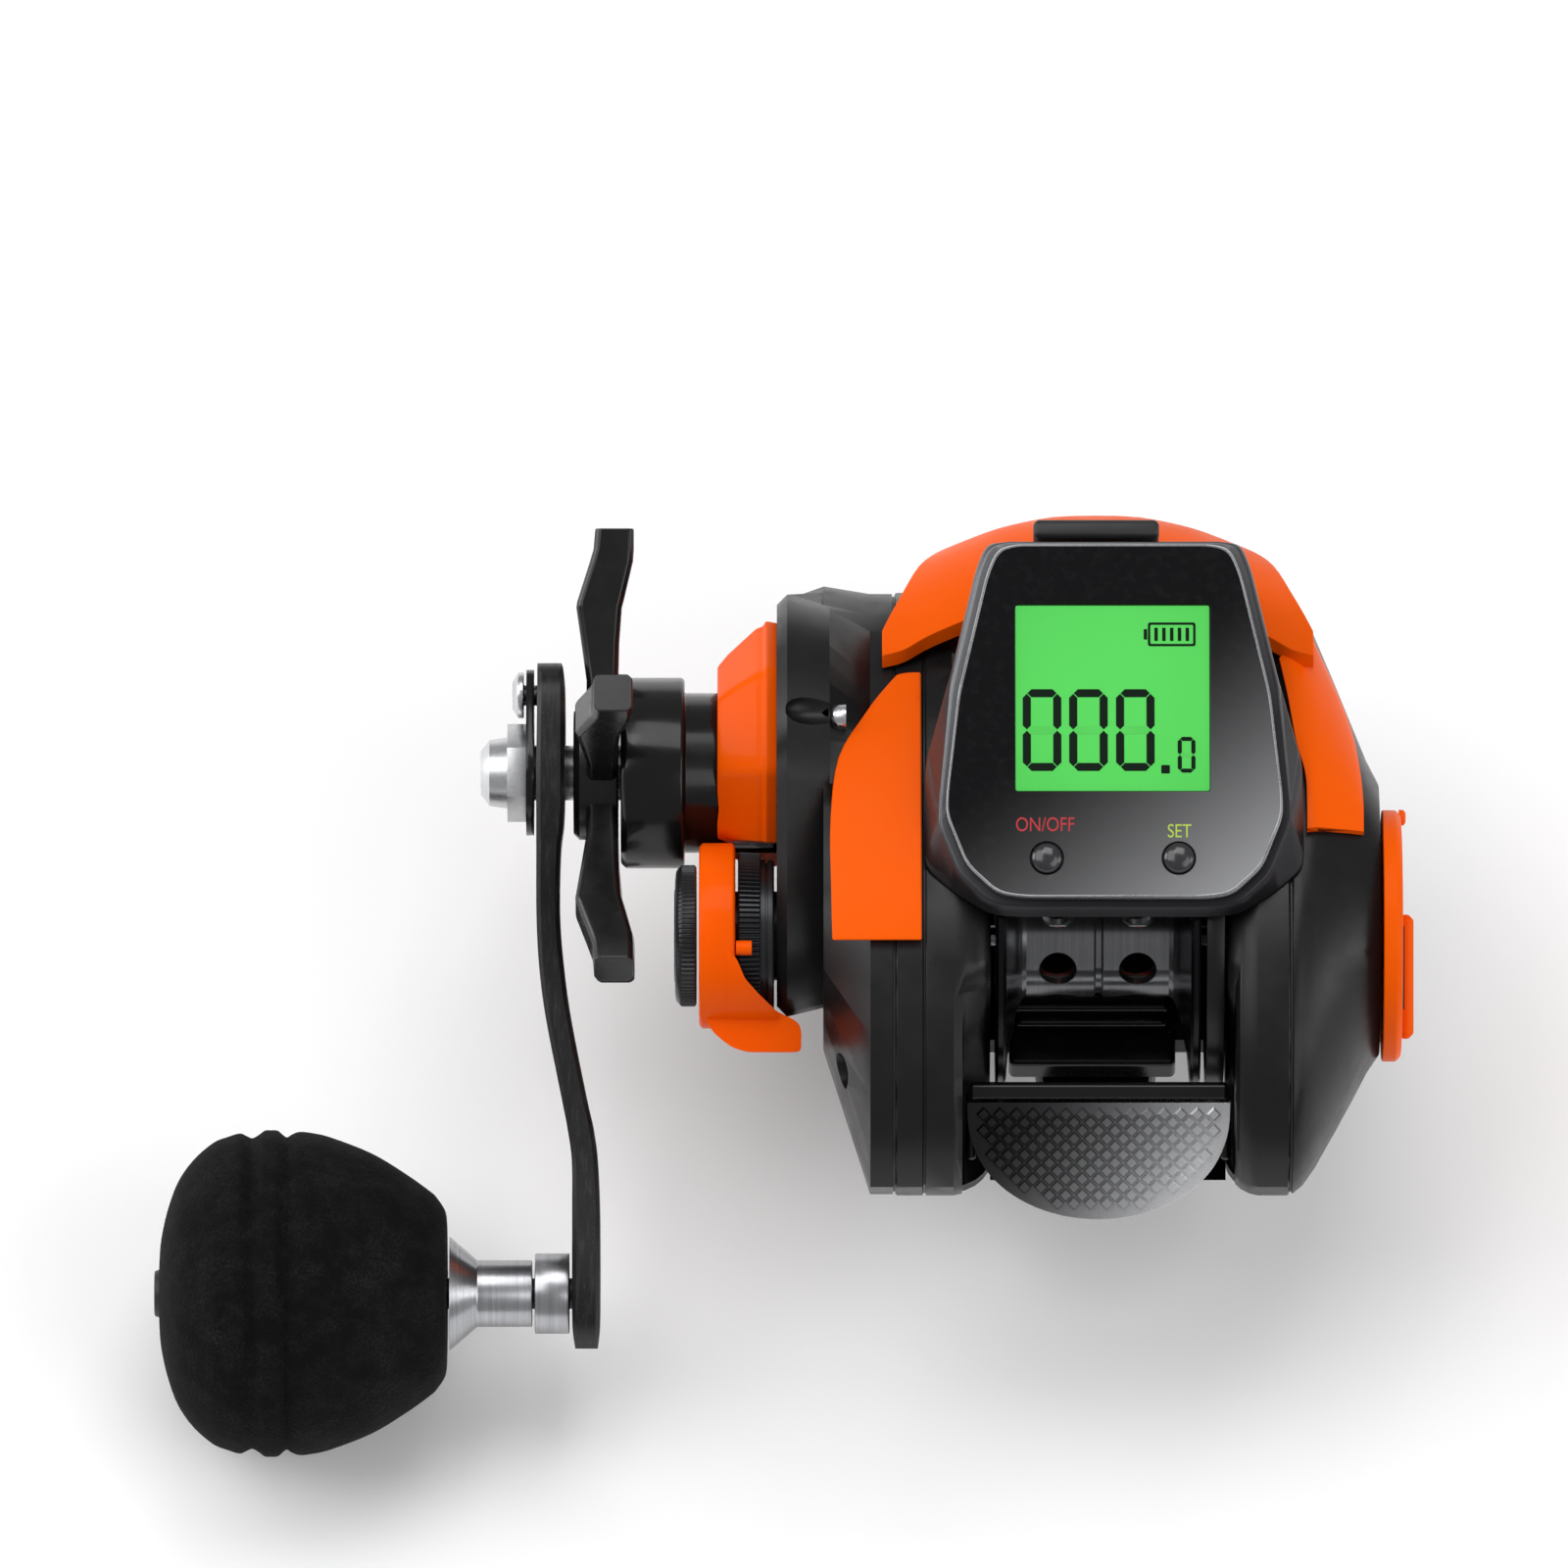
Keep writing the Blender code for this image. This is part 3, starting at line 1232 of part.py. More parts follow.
def pod_outline(half, inset=0.0):
    right = [
        (POD_HALF_WIDTH * wide - inset, POD_HALF_LENGTH * along - math.copysign(inset, along))
        for wide, along in half
    ]
    return right + [(-across, along) for across, along in reversed(right)]


def pod_ring(outline, height):
    return [pod_frame @ Vector((*point, height)) for point in outline]


def pod_block(name, x_range, y_range, z_range, finish=None):
    obj = block(name, x_range, y_range, z_range, finish)
    obj.matrix_world = pod_frame
    return obj


def make_display_housing():
    top = -FACE_THICKNESS - GAP
    deep = -(POD_HALF_LENGTH + POD_SKIRT_DROP / 2)
    face = pod_outline(FACE_SHARES, -FACE_MARGIN / 2)
    shoulder = pod_outline(FACE_SHARES, -FACE_MARGIN)
    skirt = pod_outline(SKIRT_SHARES)
    rings = [
        pod_ring(face, top),
        pod_ring(shoulder, top - FACE_MARGIN),
        pod_ring(skirt, -POD_SKIRT_DROP * 0.6),
        pod_ring(skirt, deep),
    ]
    housing = lofted("display_housing", rings, "charcoal")
    below = block(
        "below_pod",
        (POD_X - POD_HALF_WIDTH * 2, POD_X + POD_HALF_WIDTH * 2),
        (POD_Y - POD_HALF_LENGTH * 2, POD_Y + POD_HALF_LENGTH * 2),
        (pod_bottom - POD_HALF_LENGTH * 2, pod_bottom),
    )
    inner = pod_outline(FACE_SHARES, WALL * 1.5)
    ceiling = top - WALL
    room = lofted("pod_room", [pod_ring(inner, ceiling), pod_ring(inner, deep)], None)
    floor = block(
        "pod_floor",
        (POD_X - POD_HALF_WIDTH * 2, POD_X + POD_HALF_WIDTH * 2),
        (POD_Y - POD_HALF_LENGTH * 2, POD_Y + POD_HALF_LENGTH * 2),
        (pod_bottom - POD_HALF_LENGTH * 2, pod_bottom + POD_FLOOR),
    )
    cut(room, floor)
    socket = pod_block(
        "socket_hole",
        (-SOCKET_WIDTH / 2 - GAP, SOCKET_WIDTH / 2 + GAP),
        (socket_in - WALL, POD_HALF_LENGTH + WALL * 2),
        (socket_top - SOCKET_HEIGHT - GAP, socket_top + GAP),
    )
    cut(housing, below, room, socket)
    return rounded(housing)


def make_face():
    outline = pod_outline(FACE_SHARES)
    plate = lofted(
        "face_plate",
        [
            pod_ring(pod_outline(FACE_SHARES, SMALL_EDGE), 0.0),
            pod_ring(outline, -SMALL_EDGE),
            pod_ring(outline, -FACE_THICKNESS),
        ],
        "gloss_black",
    )
    wide = LCD_HALF_WIDTH
    high = LCD_HALF_HEIGHT
    window = pod_block(
        "window",
        (LCD_SHIFT - wide - GAP, LCD_SHIFT + wide + GAP),
        (LCD_UP - high - GAP, LCD_UP + high + GAP),
        (-FACE_THICKNESS - WALL, WALL),
    )
    holes = [button_piece("button_hole", side, BUTTON_RADIUS + GAP, -FACE_THICKNESS - WALL, WALL, None)
             for side in (-1, 1)]
    rounded(cut(plate, window, *holes))
    pod_block(
        "lcd_panel",
        (LCD_SHIFT - wide, LCD_SHIFT + wide),
        (LCD_UP - high, LCD_UP + high),
        (-FACE_THICKNESS, LCD_THICKNESS - FACE_THICKNESS),
        "screen",
    )
    for name, side, finish in (("power_button", -1, "red"), ("set_button", 1, "lime")):
        low = -FACE_THICKNESS + BUTTON_TRAVEL
        rounded(button_piece(name, side, BUTTON_RADIUS, low, BUTTON_RISE, finish))


def button_piece(name, side, radius, low, high, finish):
    profile = [(high, 0.0), (high - BUTTON_RISE / 2, radius), (low, radius), (low, 0.0)]
    if finish is None:
        profile = [(high, 0.0), (high, radius), (low, radius), (low, 0.0)]
    obj = turned(name, profile, finish, 0.0, 0.0, SMALL_STEPS - 4)
    place = Matrix.Translation((LCD_SHIFT + BUTTON_SIDE * side, -button_down, 0.0))
    obj.matrix_world = pod_frame @ place
    return obj


def make_electronics():
    board_top = -FACE_THICKNESS - GAP - WALL - GAP
    half = POD_HALF_WIDTH * 0.62
    pod_block(
        "circuit_board", (-half, half), (-POD_HALF_LENGTH * 0.28, socket_in - GAP),
        (board_top - BOARD_THICKNESS, board_top), "board",
    )
    front = POD_Y + POD_HALF_LENGTH * 0.52
    base = pod_bottom + POD_FLOOR + GAP
    cell = block(
        "battery",
        (POD_X - BATTERY_LENGTH / 2, POD_X + BATTERY_LENGTH / 2),
        (front - BATTERY_WIDTH, front),
        (base, base + BATTERY_HEIGHT),
        "cell",
    )
    bevelled(cell, SOFT_EDGE)
    block(
        "rotation_sensor",
        (POD_X - BUTTON_SIDE - SENSOR_WIDTH, POD_X - BUTTON_SIDE),
        (front - BATTERY_WIDTH - SENSOR_WIDTH - GAP, front - BATTERY_WIDTH - GAP),
        (base, base + SENSOR_HEIGHT),
        "gloss_black",
    )
    pod_block(
        "charging_socket",
        (-SOCKET_WIDTH / 2, SOCKET_WIDTH / 2),
        (socket_in, socket_in + SOCKET_DEPTH),
        (socket_top - SOCKET_HEIGHT, socket_top),
        "steel",
    )
    cover = block("port_cover", (-PORT_WIDTH / 2, PORT_WIDTH / 2), (0.0, PORT_DEPTH), (0.0, PORT_HEIGHT),
                  "rubber")
    hinge = Matrix.Translation((PORT_SHIFT, pod_front + GAP, socket_top + WALL - PORT_HEIGHT))
    cover.matrix_world = pod_frame @ hinge
    bevelled(cover, SOFT_EDGE, 2)


def strip_between(outline_out, outline_in, x):
    return [(x, y, z) for y, z in outline_out + outline_in[::-1]]


def ellipse_arc(y, z, reach, height, low, high, steps):
    return [
        (
            y + reach * math.cos(low + (high - low) * index / steps),
            z + height * math.sin(low + (high - low) * index / steps),
        )
        for index in range(steps + 1)
    ]


def make_left_trim():
    """The saddle over the crank side, narrow at its front. Each ring is one cross-section along its arc."""
    lift = WALL / 2
    low = math.radians(60.0)
    high = math.radians(113.0)
    right = POD_X - POD_HALF_WIDTH * SKIRT_SHARES[5][0] - GAP
    # Shares of the arc from the front, with shares of the full width
    band_shares = [(0.0, 0.27), (0.17, 0.61), (0.35, 0.91), (0.58, 1.0), (1.0, 0.98)]
    full = TRIM_WIDTH
    rings = []
    for share, width in band_shares:
        angle = low + (high - low) * share
        outward = [lift, lift + TRIM_THICKNESS]
        corners = [
            (right, outward[0]), (right, outward[1]),
            (right - full * width, outward[1]), (right - full * width, outward[0]),
        ]
        rings.append([
            (
                x,
                BODY_Y + (BODY_REACH + grow) * math.cos(angle),
                BODY_Z + (BODY_HEIGHT + grow) * math.sin(angle),
            )
            for x, grow in corners
        ])
    return rounded(bevelled(lofted("left_trim", rings, "orange")))


def make_right_trim():
    """The band over the palm side, which follows that cover's dome."""
    lift = GAP
    shares = (0.18, 0.42, 0.62, 0.78)
    low_degrees = (59.5, 60.5, 63.0, 68.0)
    rings = []
    for share, low in zip(shares, low_degrees):
        middle, reach, height = palm_section(share)
        high = math.acos((BODY_Y + RIGHT_TRIM_REAR - middle) / reach)
        arcs = [
            ellipse_arc(middle, BODY_Z, reach + grow, height + grow, math.radians(low), high, 6)
            for grow in (lift + TRIM_THICKNESS, lift)
        ]
        rings.append(strip_between(*arcs, palm_in + PALM_WIDTH * share))
    return rounded(lofted("right_trim", rings, "orange"))


def make_brake_dial():
    dial_in = palm_out + GAP
    dial_out = dial_in + DIAL_WIDTH
    shaft = SPOOL_BEARING_RADIUS - GAP
    ring_in = palm_in + SPOOL_BEARING_WIDTH + GAP * 2
    profile = [
        (dial_out, 0.0),
        (dial_out, DIAL_RADIUS - SMALL_EDGE * 2),
        (dial_out - SMALL_EDGE * 2, DIAL_RADIUS),
        (dial_in, DIAL_RADIUS),
        (dial_in, shaft),
        (ring_in, shaft),
        (ring_in, 0.0),
    ]
    dial = turned("brake_dial", profile, "orange", SPOOL_Y, SPOOL_Z, origin_x=dial_in)
    lever = block(
        "dial_lever",
        (dial_out - SMALL_EDGE, dial_out + DIAL_LEVER_WIDTH),
        (DIAL_LEVER_LENGTH * (DIAL_LEVER_SHARE - 1), DIAL_LEVER_LENGTH * DIAL_LEVER_SHARE),
        (-DIAL_LEVER_HEIGHT / 2, DIAL_LEVER_HEIGHT / 2),
        turn=Matrix.Rotation(CRANK_ANGLE + math.pi, 3, "X"),
        at=(0.0, SPOOL_Y, SPOOL_Z),
    )
    bevelled(lever, SOFT_EDGE)
    rounded(joined(dial, lever))
    ring = tube(ring_in + GAP, ring_in + GAP + DIAL_WIDTH, SPOOL_BEARING_RADIUS * 2, shaft + GAP)
    rounded(turned("brake_magnets", ring, "magnet", SPOOL_Y, SPOOL_Z, SMALL_STEPS))


def make_level_wind():
    low = opening_left - LEFT_WALL_WIDTH * 1.16
    high = opening_right + RIGHT_WALL_WIDTH / 2
    profile = [
        (high, 0.0),
        (high, WORM_SHAFT_RADIUS),
        (opening_right - GAP, WORM_SHAFT_RADIUS),
        (opening_right - GAP, WORM_RADIUS),
        (opening_left + GAP, WORM_RADIUS),
        (opening_left + GAP, WORM_SHAFT_RADIUS),
        (low, WORM_SHAFT_RADIUS),
        (low, 0.0),
    ]
    rounded(turned("worm_shaft", profile, "steel", worm_y, worm_z, SMALL_STEPS))
    bore = circle(WORM_SHAFT_RADIUS + GAP, SMALL_STEPS - 4)
    phase = mesh_phase(WORM_ANGLE, GUIDE_DRIVE_TEETH, WORM_TEETH)
    outline = [turn_point(point, phase) for point in gear_outline(WORM_TEETH, GUIDE_MODULE)]
    flat("worm_gear", [outline, bore], guide_gear_out, guide_gear_in, "ceramic", worm_y, worm_z)
    rounded(turned(
        "guide_rail", rod(opening_left - rail_seat, opening_right + rail_seat, RAIL_RADIUS), "steel",
        rail_y, rail_z, SMALL_STEPS - 4,
    ))
    middle = OPENING_SHIFT
    half = EYE_RADIUS + EYE_WALL + WALL
    guide = block(
        "line_guide",
        (-half, half),
        (rail_y - GUIDE_DEPTH / 2, rail_y + GUIDE_DEPTH / 2),
        (worm_z, rail_z + RAIL_RADIUS + WALL),
        "black",
        at=(middle, 0.0, 0.0),
    )
    nut = block(
        "worm_nut",
        (-half, half),
        (worm_y - WORM_RADIUS - WALL, rail_y),
        (worm_z - WORM_RADIUS - WALL, worm_z + WORM_RADIUS + WALL),
        at=(middle, 0.0, 0.0),
    )
    joined(guide, nut)
    beyond = middle - half - WALL, middle + half + WALL
    eye_turn = Matrix.Rotation(math.pi / 2, 3, "X")
    eye_depth = GUIDE_DEPTH
    hole = turned("eye_hole", rod(-eye_depth, eye_depth, EYE_RADIUS + EYE_WALL + THIN_GAP * 2), None,
                  rail_y, eye_z, SMALL_STEPS, eye_turn)
    hole.location.x = middle
    pawl_top = worm_z - WORM_RADIUS - GAP
    below_nut = worm_z - WORM_RADIUS - WALL * 2
    pawl_hole = turned(
        "pawl_hole",
        [
            (worm_z, 0.0), (worm_z, PAWL_RADIUS + GAP), (below_nut, PAWL_RADIUS + GAP), (below_nut, 0.0),
        ],
        None, worm_y, 0.0, SMALL_STEPS - 4, Matrix.Identity(3),
    )
    pawl_hole.location.x = middle
    cut(
        guide,
        pawl_hole,
        round_cutter("guide_worm_bore", *beyond, WORM_RADIUS + GAP, worm_y, worm_z, SMALL_STEPS),
        round_cutter("guide_rail_bore", *beyond, RAIL_RADIUS + GAP, rail_y, rail_z, SMALL_STEPS - 4),
        hole,
    )
    rounded(guide)
    eye = turned(
        "guide_eye",
        [
            (eye_depth * 0.4, EYE_RADIUS + EYE_WALL), (-eye_depth * 0.4, EYE_RADIUS + EYE_WALL),
            (-eye_depth * 0.4, EYE_RADIUS), (eye_depth * 0.4, EYE_RADIUS),
        ],
        "ceramic", rail_y, eye_z, SMALL_STEPS, eye_turn,
    )
    eye.location.x = middle
    rounded(eye)
    pawl = turned(
        "guide_pawl",
        [
            (pawl_top, 0.0), (pawl_top, PAWL_RADIUS), (pawl_top - PAWL_LENGTH, PAWL_RADIUS),
            (pawl_top - PAWL_LENGTH, 0.0),
        ],
        "brass", worm_y, 0.0, SMALL_STEPS - 4, Matrix.Identity(3),
    )
    pawl.location.x = middle
    rounded(pawl)


def make_thumb_bar():
    turn = Matrix.Rotation(THUMB_TILT, 3, "X")
    outline = [(THUMB_RADIUS, 0.0), (THUMB_RADIUS, -SOFT_EDGE * 2)]
    steps = 14
    for index in range(1, steps):
        angle = math.pi * index / steps
        outline.append((
            THUMB_RADIUS * math.cos(angle), -SOFT_EDGE * 2 - THUMB_DEPTH * math.sin(angle) ** 0.9,
        ))
    outline += [(-THUMB_RADIUS, -SOFT_EDGE * 2), (-THUMB_RADIUS, 0.0)]
    rings = []
    for height, inset in ((0.0, SMALL_EDGE), (-SMALL_EDGE, 0.0), (-THUMB_THICKNESS, 0.0)):
        share = 1 - inset / THUMB_RADIUS
        rings.append([turn @ Vector((x * share, y * share, height)) for x, y in outline])
    bar = lofted("thumb_bar", rings, "charcoal")
    bar.location = (0.0, thumb_y, thumb_z)
    link = block(
        "thumb_link",
        (-THUMB_RADIUS / 2, THUMB_RADIUS / 2),
        (thumb_y - THUMB_THICKNESS * 2.4, thumb_y - THUMB_THICKNESS * 1.2),
        (thumb_z - LINK_LENGTH, thumb_z - THUMB_THICKNESS),
    )
    return rounded(joined(bar, link))


def make_foot():
    half = FOOT_LENGTH / 2
    tip = FOOT_TIP_THICKNESS
    # Shares of the half length, of the half width, and heights
    foot_shares = [
        (-1.0, 0.45, tip * 0.7), (-0.93, 0.62, tip), (-0.6, 0.86, tip * 1.25), (-0.32, 1.0, FOOT_THICKNESS),
        (0.32, 1.0, FOOT_THICKNESS), (0.6, 0.86, tip * 1.25), (0.93, 0.62, tip), (1.0, 0.45, tip * 0.7),
    ]
    rings = []
    for along, wide, high in foot_shares:
        across = FOOT_WIDTH / 2 * wide
        rings.append([
            (-across, half * along, 0.0), (across, half * along, 0.0),
            (across * 0.9, half * along, high), (-across * 0.9, half * along, high),
        ])
    foot = lofted("reel_foot", rings, "black")
    down = Matrix.Identity(3)
    tools = []
    for index in range(2):
        y = FOOT_SCREWS_APART * (index - 0.5)
        hole = turned(
            "foot_hole",
            [
                (FOOT_THICKNESS + WALL, 0.0), (FOOT_THICKNESS + WALL, SCREW_SHANK_RADIUS + GAP),
                (foot_head, SCREW_SHANK_RADIUS + GAP), (foot_head, FOOT_SCREW_RADIUS + GAP),
                (-WALL, FOOT_SCREW_RADIUS + GAP), (-WALL, 0.0),
            ],
            None, y, 0.0, SMALL_STEPS - 4, down,
        )
        tools.append(hole)
    cut(foot, *tools)
    rounded(foot, math.radians(20.0))
    for name, place in (("foot_screw_rear", 0), ("foot_screw_front", 1)):
        profile = [
            (FOOT_THICKNESS - GAP, 0.0), (FOOT_THICKNESS - GAP, SCREW_SHANK_RADIUS),
            (foot_head - GAP, SCREW_SHANK_RADIUS), (foot_head - GAP, FOOT_SCREW_RADIUS),
            (GAP, FOOT_SCREW_RADIUS), (GAP, 0.0),
        ]
        y = FOOT_SCREWS_APART * (place - 0.5)
        rounded(turned(name, profile, "steel", y, 0.0, SMALL_STEPS - 4, down))


make_frame()
make_gear_side_cover()
make_cover_screw()
make_palm_side_cover()
make_hood()
make_boss()
make_clutch_housing()
make_drive_train()
make_spool()
make_star()
make_handle_arm()
make_handle_fastening()
make_knob()
make_cast_control()
make_display_housing()
make_face()
make_electronics()
make_left_trim()
make_right_trim()
make_brake_dial()
make_level_wind()
make_thumb_bar()
make_foot()
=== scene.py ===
import json
import math

import bmesh
import bpy
from mathutils import Matrix, Vector

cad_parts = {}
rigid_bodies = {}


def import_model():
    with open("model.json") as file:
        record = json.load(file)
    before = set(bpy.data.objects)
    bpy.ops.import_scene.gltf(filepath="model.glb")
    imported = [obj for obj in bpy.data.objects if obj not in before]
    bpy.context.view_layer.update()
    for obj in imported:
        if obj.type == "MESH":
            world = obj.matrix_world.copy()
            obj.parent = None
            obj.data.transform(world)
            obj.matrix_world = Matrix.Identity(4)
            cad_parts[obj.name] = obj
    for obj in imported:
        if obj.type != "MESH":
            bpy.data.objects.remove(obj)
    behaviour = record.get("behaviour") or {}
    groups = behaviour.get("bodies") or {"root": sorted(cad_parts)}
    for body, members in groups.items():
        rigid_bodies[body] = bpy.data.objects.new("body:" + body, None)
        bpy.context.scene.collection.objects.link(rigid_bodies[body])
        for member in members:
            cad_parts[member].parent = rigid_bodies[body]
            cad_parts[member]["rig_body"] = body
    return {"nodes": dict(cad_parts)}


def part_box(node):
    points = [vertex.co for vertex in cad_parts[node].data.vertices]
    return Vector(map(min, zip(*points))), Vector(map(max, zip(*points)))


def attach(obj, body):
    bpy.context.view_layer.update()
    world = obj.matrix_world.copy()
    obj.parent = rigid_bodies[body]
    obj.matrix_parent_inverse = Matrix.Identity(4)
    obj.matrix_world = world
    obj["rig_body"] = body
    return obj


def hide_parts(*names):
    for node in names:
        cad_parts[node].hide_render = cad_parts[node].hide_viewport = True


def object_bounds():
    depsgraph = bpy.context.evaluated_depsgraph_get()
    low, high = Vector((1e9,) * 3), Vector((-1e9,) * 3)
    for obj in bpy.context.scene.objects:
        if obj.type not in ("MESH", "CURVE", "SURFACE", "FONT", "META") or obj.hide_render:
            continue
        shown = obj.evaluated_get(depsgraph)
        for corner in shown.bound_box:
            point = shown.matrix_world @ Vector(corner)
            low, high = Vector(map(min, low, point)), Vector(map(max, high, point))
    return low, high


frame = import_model()
nodes = frame["nodes"]
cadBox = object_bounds()
print("frame loaded,", len(nodes), "nodes")

mm = 0.001
hair = 0.000001


def middleOf(node):
    low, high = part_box(node)
    return (low + high) / 2


spoolAxis = middleOf("spool_shaft")
driveAxis = middleOf("drive_shaft")
knobAxis = middleOf("knob_grip")


class Flow:
    # wraps a socket, so that sums of values read as plain sums
    def __init__(self, tree, socket):
        self.tree = tree
        self.socket = socket

    def maths(self, operation, *values):
        return asked(self.tree, "ShaderNodeMath", {"operation": operation}, dict(enumerate(values)))

    def __add__(self, other):
        return self.maths("ADD", self, other)

    __radd__ = __add__

    def __sub__(self, other):
        return self.maths("SUBTRACT", self, other)

    def __rsub__(self, other):
        return self.maths("SUBTRACT", other, self)

    def __mul__(self, other):
        return self.maths("MULTIPLY", self, other)

    __rmul__ = __mul__

    def __pow__(self, other):
        return self.maths("POWER", self, other)


def feed(tree, socket, value):
    if isinstance(value, Flow):
        tree.links.new(value.socket, socket)
    else:
        socket.default_value = value


def asked(tree, kind, settings, inputs, output=0):
    # a new node: its settings first, then the values or links of its sockets
    node = tree.nodes.new(kind)
    for name, value in settings.items():
        setattr(node, name, value)
    for name, value in inputs.items():
        feed(tree, node.inputs[name], value)
    return Flow(tree, node.outputs[output])


class Finish:
    # a material and its surface shader
    def __init__(self, name, **constants):
        self.material = bpy.data.materials.new(name)
        self.material.use_nodes = True
        self.tree = self.material.node_tree
        self.shader = self.tree.nodes["Principled BSDF"]
        self.place = self.ask("ShaderNodeTexCoord", "Object")
        for socket, value in constants.items():
            self.set(socket, value)

    def ask(self, kind, output=0, **sockets):
        inputs = {name.replace("_", " "): value for name, value in sockets.items()}
        return asked(self.tree, kind, {}, inputs, output)

    def set(self, socket, value):
        feed(self.tree, self.shader.inputs[socket], value)

    def noise(self, scale, detail=2.0, roughness=0.5, at=None):
        place = at or self.place
        return self.ask("ShaderNodeTexNoise", Vector=place, Scale=scale, Detail=detail, Roughness=roughness)

    def spread(self, value, low, high, fromLow=0.0, fromHigh=1.0):
        return self.ask(
            "ShaderNodeMapRange", Value=value, From_Min=fromLow, From_Max=fromHigh, To_Min=low, To_Max=high,
        )

    def mixed(self, share, first, second):
        pair = [colour if isinstance(colour, Flow) else (*colour, 1.0) for colour in (first, second)]
        return asked(self.tree, "ShaderNodeMix", {"data_type": "RGBA"}, {0: share, 6: pair[0], 7: pair[1]}, 2)

    def tinted(self, pattern, first, second, low=0.3, high=0.7):
        # the base colour goes from the first to the second as the pattern rises
        self.set("Base Color", self.mixed(self.spread(pattern, 0.0, 1.0, low, high), first, second))

    def roughened(self, pattern, low, high):
        self.set("Roughness", self.spread(pattern, low, high, 0.3, 0.7))

    def coated(self, weight, roughness):
        self.set("Coat Weight", weight)
        self.set("Coat Roughness", roughness)

    def bump(self, height, strength, distance):
        return self.ask("ShaderNodeBump", Strength=strength, Distance=distance, Height=height)

    def stretched(self, x, y, z):
        return self.ask("ShaderNodeMapping", Vector=self.place, Scale=(x, y, z))

    def axisPart(self, part):
        return self.ask("ShaderNodeSeparateXYZ", part, Vector=self.place)


def finished(name, bm, finish, body, replaced=(), sharp=38.0):
    bmesh.ops.remove_doubles(bm, verts=bm.verts, dist=hair / 2)
    bmesh.ops.recalc_face_normals(bm, faces=bm.faces)
    mesh = bpy.data.meshes.new(name)
    bm.to_mesh(mesh)
    bm.free()
    piece = bpy.data.objects.new(name, mesh)
    bpy.context.scene.collection.objects.link(piece)
    mesh.materials.append(finish.material)
    mesh.shade_smooth()
    mesh.set_sharp_from_angle(angle=math.radians(sharp))
    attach(piece, body)
    if replaced:
        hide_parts(*replaced)
    return piece


def roundEdges(bm, width, segments=2, angle=30.0, only=None):
    picked = []
    for edge in bm.edges:
        if len(edge.link_faces) == 2 and edge.calc_face_angle(0.0) > math.radians(angle):
            if only is None or only(edge):
                picked.append(edge)
    if picked:
        bmesh.ops.bevel(
            bm, geom=picked, offset=width, offset_type="OFFSET", segments=segments, profile=0.5,
            affect="EDGES", clamp_overlap=True, material=-1,
        )


def spun(profile, steps=72, bm=None):
    # a profile of (x, radius), turned round the X axis
    bm = bm or bmesh.new()
    points = [bm.verts.new((x, radius, 0.0)) for x, radius in profile]
    edges = [bm.edges.new(pair) for pair in zip(points, points[1:])]
    bmesh.ops.spin(
        bm, geom=points + edges, cent=(0, 0, 0), axis=(1, 0, 0), dvec=(0, 0, 0), angle=math.tau,
        steps=steps, use_merge=True, use_duplicate=False,
    )
    bmesh.ops.remove_doubles(bm, verts=bm.verts, dist=hair)
    return bm


def rod(left, right, radius, steps):
    # a round bar along the X axis
    return spun([(left, 0.0), (left, radius), (right, radius), (right, 0.0)], steps)


def moved(bm, place):
    bmesh.ops.translate(bm, vec=place, verts=bm.verts)
    return bm


def atAxis(bm, axis):
    # from the X axis to this axis, in millimetres
    return moved(bm, Vector((0.0, *(axis / mm).yz)))


def grown(rings, capStart=True, capEnd=True, bm=None):
    # extrudes the first ring's edges from ring to ring, so that every ring keeps its points' order
    bm = bm or bmesh.new()
    row = list(bmesh.ops.create_circle(bm, segments=len(rings[0]), radius=1.0)["verts"])
    for vert, place in zip(row, rings[0]):
        vert.co = place
    if capStart:
        bmesh.ops.contextual_create(bm, geom=row)
    for ring in rings[1:]:
        edges = [bm.edges.get((a, b)) for a, b in zip(row, row[1:] + row[:1])]
        made = bmesh.ops.extrude_edge_only(bm, edges=edges)["geom"]
        fresh = {item for item in made if isinstance(item, bmesh.types.BMVert)}
        row = [next(e.other_vert(v) for e in v.link_edges if e.other_vert(v) in fresh) for v in row]
        for vert, place in zip(row, ring):
            vert.co = place
    if capEnd:
        bmesh.ops.contextual_create(bm, geom=row)
    bmesh.ops.recalc_face_normals(bm, faces=bm.faces)
    return bm


def brick(size, middle, bm=None):
    bm = bm or bmesh.new()
    made = bmesh.ops.create_cube(bm, size=1.0)["verts"]
    bmesh.ops.scale(bm, vec=size, verts=made)
    bmesh.ops.translate(bm, vec=middle, verts=made)
    return bm


def copied(node):
    # a merged copy of a CAD node, with its flat parts made whole
    bm = bmesh.new()
    bm.from_mesh(nodes[node].data)
    bmesh.ops.remove_doubles(bm, verts=bm.verts, dist=hair * 2)
    bmesh.ops.dissolve_limit(bm, angle_limit=math.radians(1.0), verts=bm.verts, edges=bm.edges)
    return bm


def inMillimetres(node):
    bm = copied(node)
    bmesh.ops.scale(bm, vec=(1 / mm, 1 / mm, 1 / mm), verts=bm.verts)
    return bm


def dressed(node, finish, edge):
    # the node's own shape with rounded edges
    bm = copied(node)
    if edge:
        roundEdges(bm, edge, 2, 35.0)
    finished(node + "_shell", bm, finish, nodes[node]["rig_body"], (node,))


def absorbed(bm, *others):
    # adds the others' shapes to the body
    for other in others:
        mesh = bpy.data.meshes.new("limb")
        other.to_mesh(mesh)
        other.free()
        bm.from_mesh(mesh)
        bpy.data.meshes.remove(mesh)
    return bm


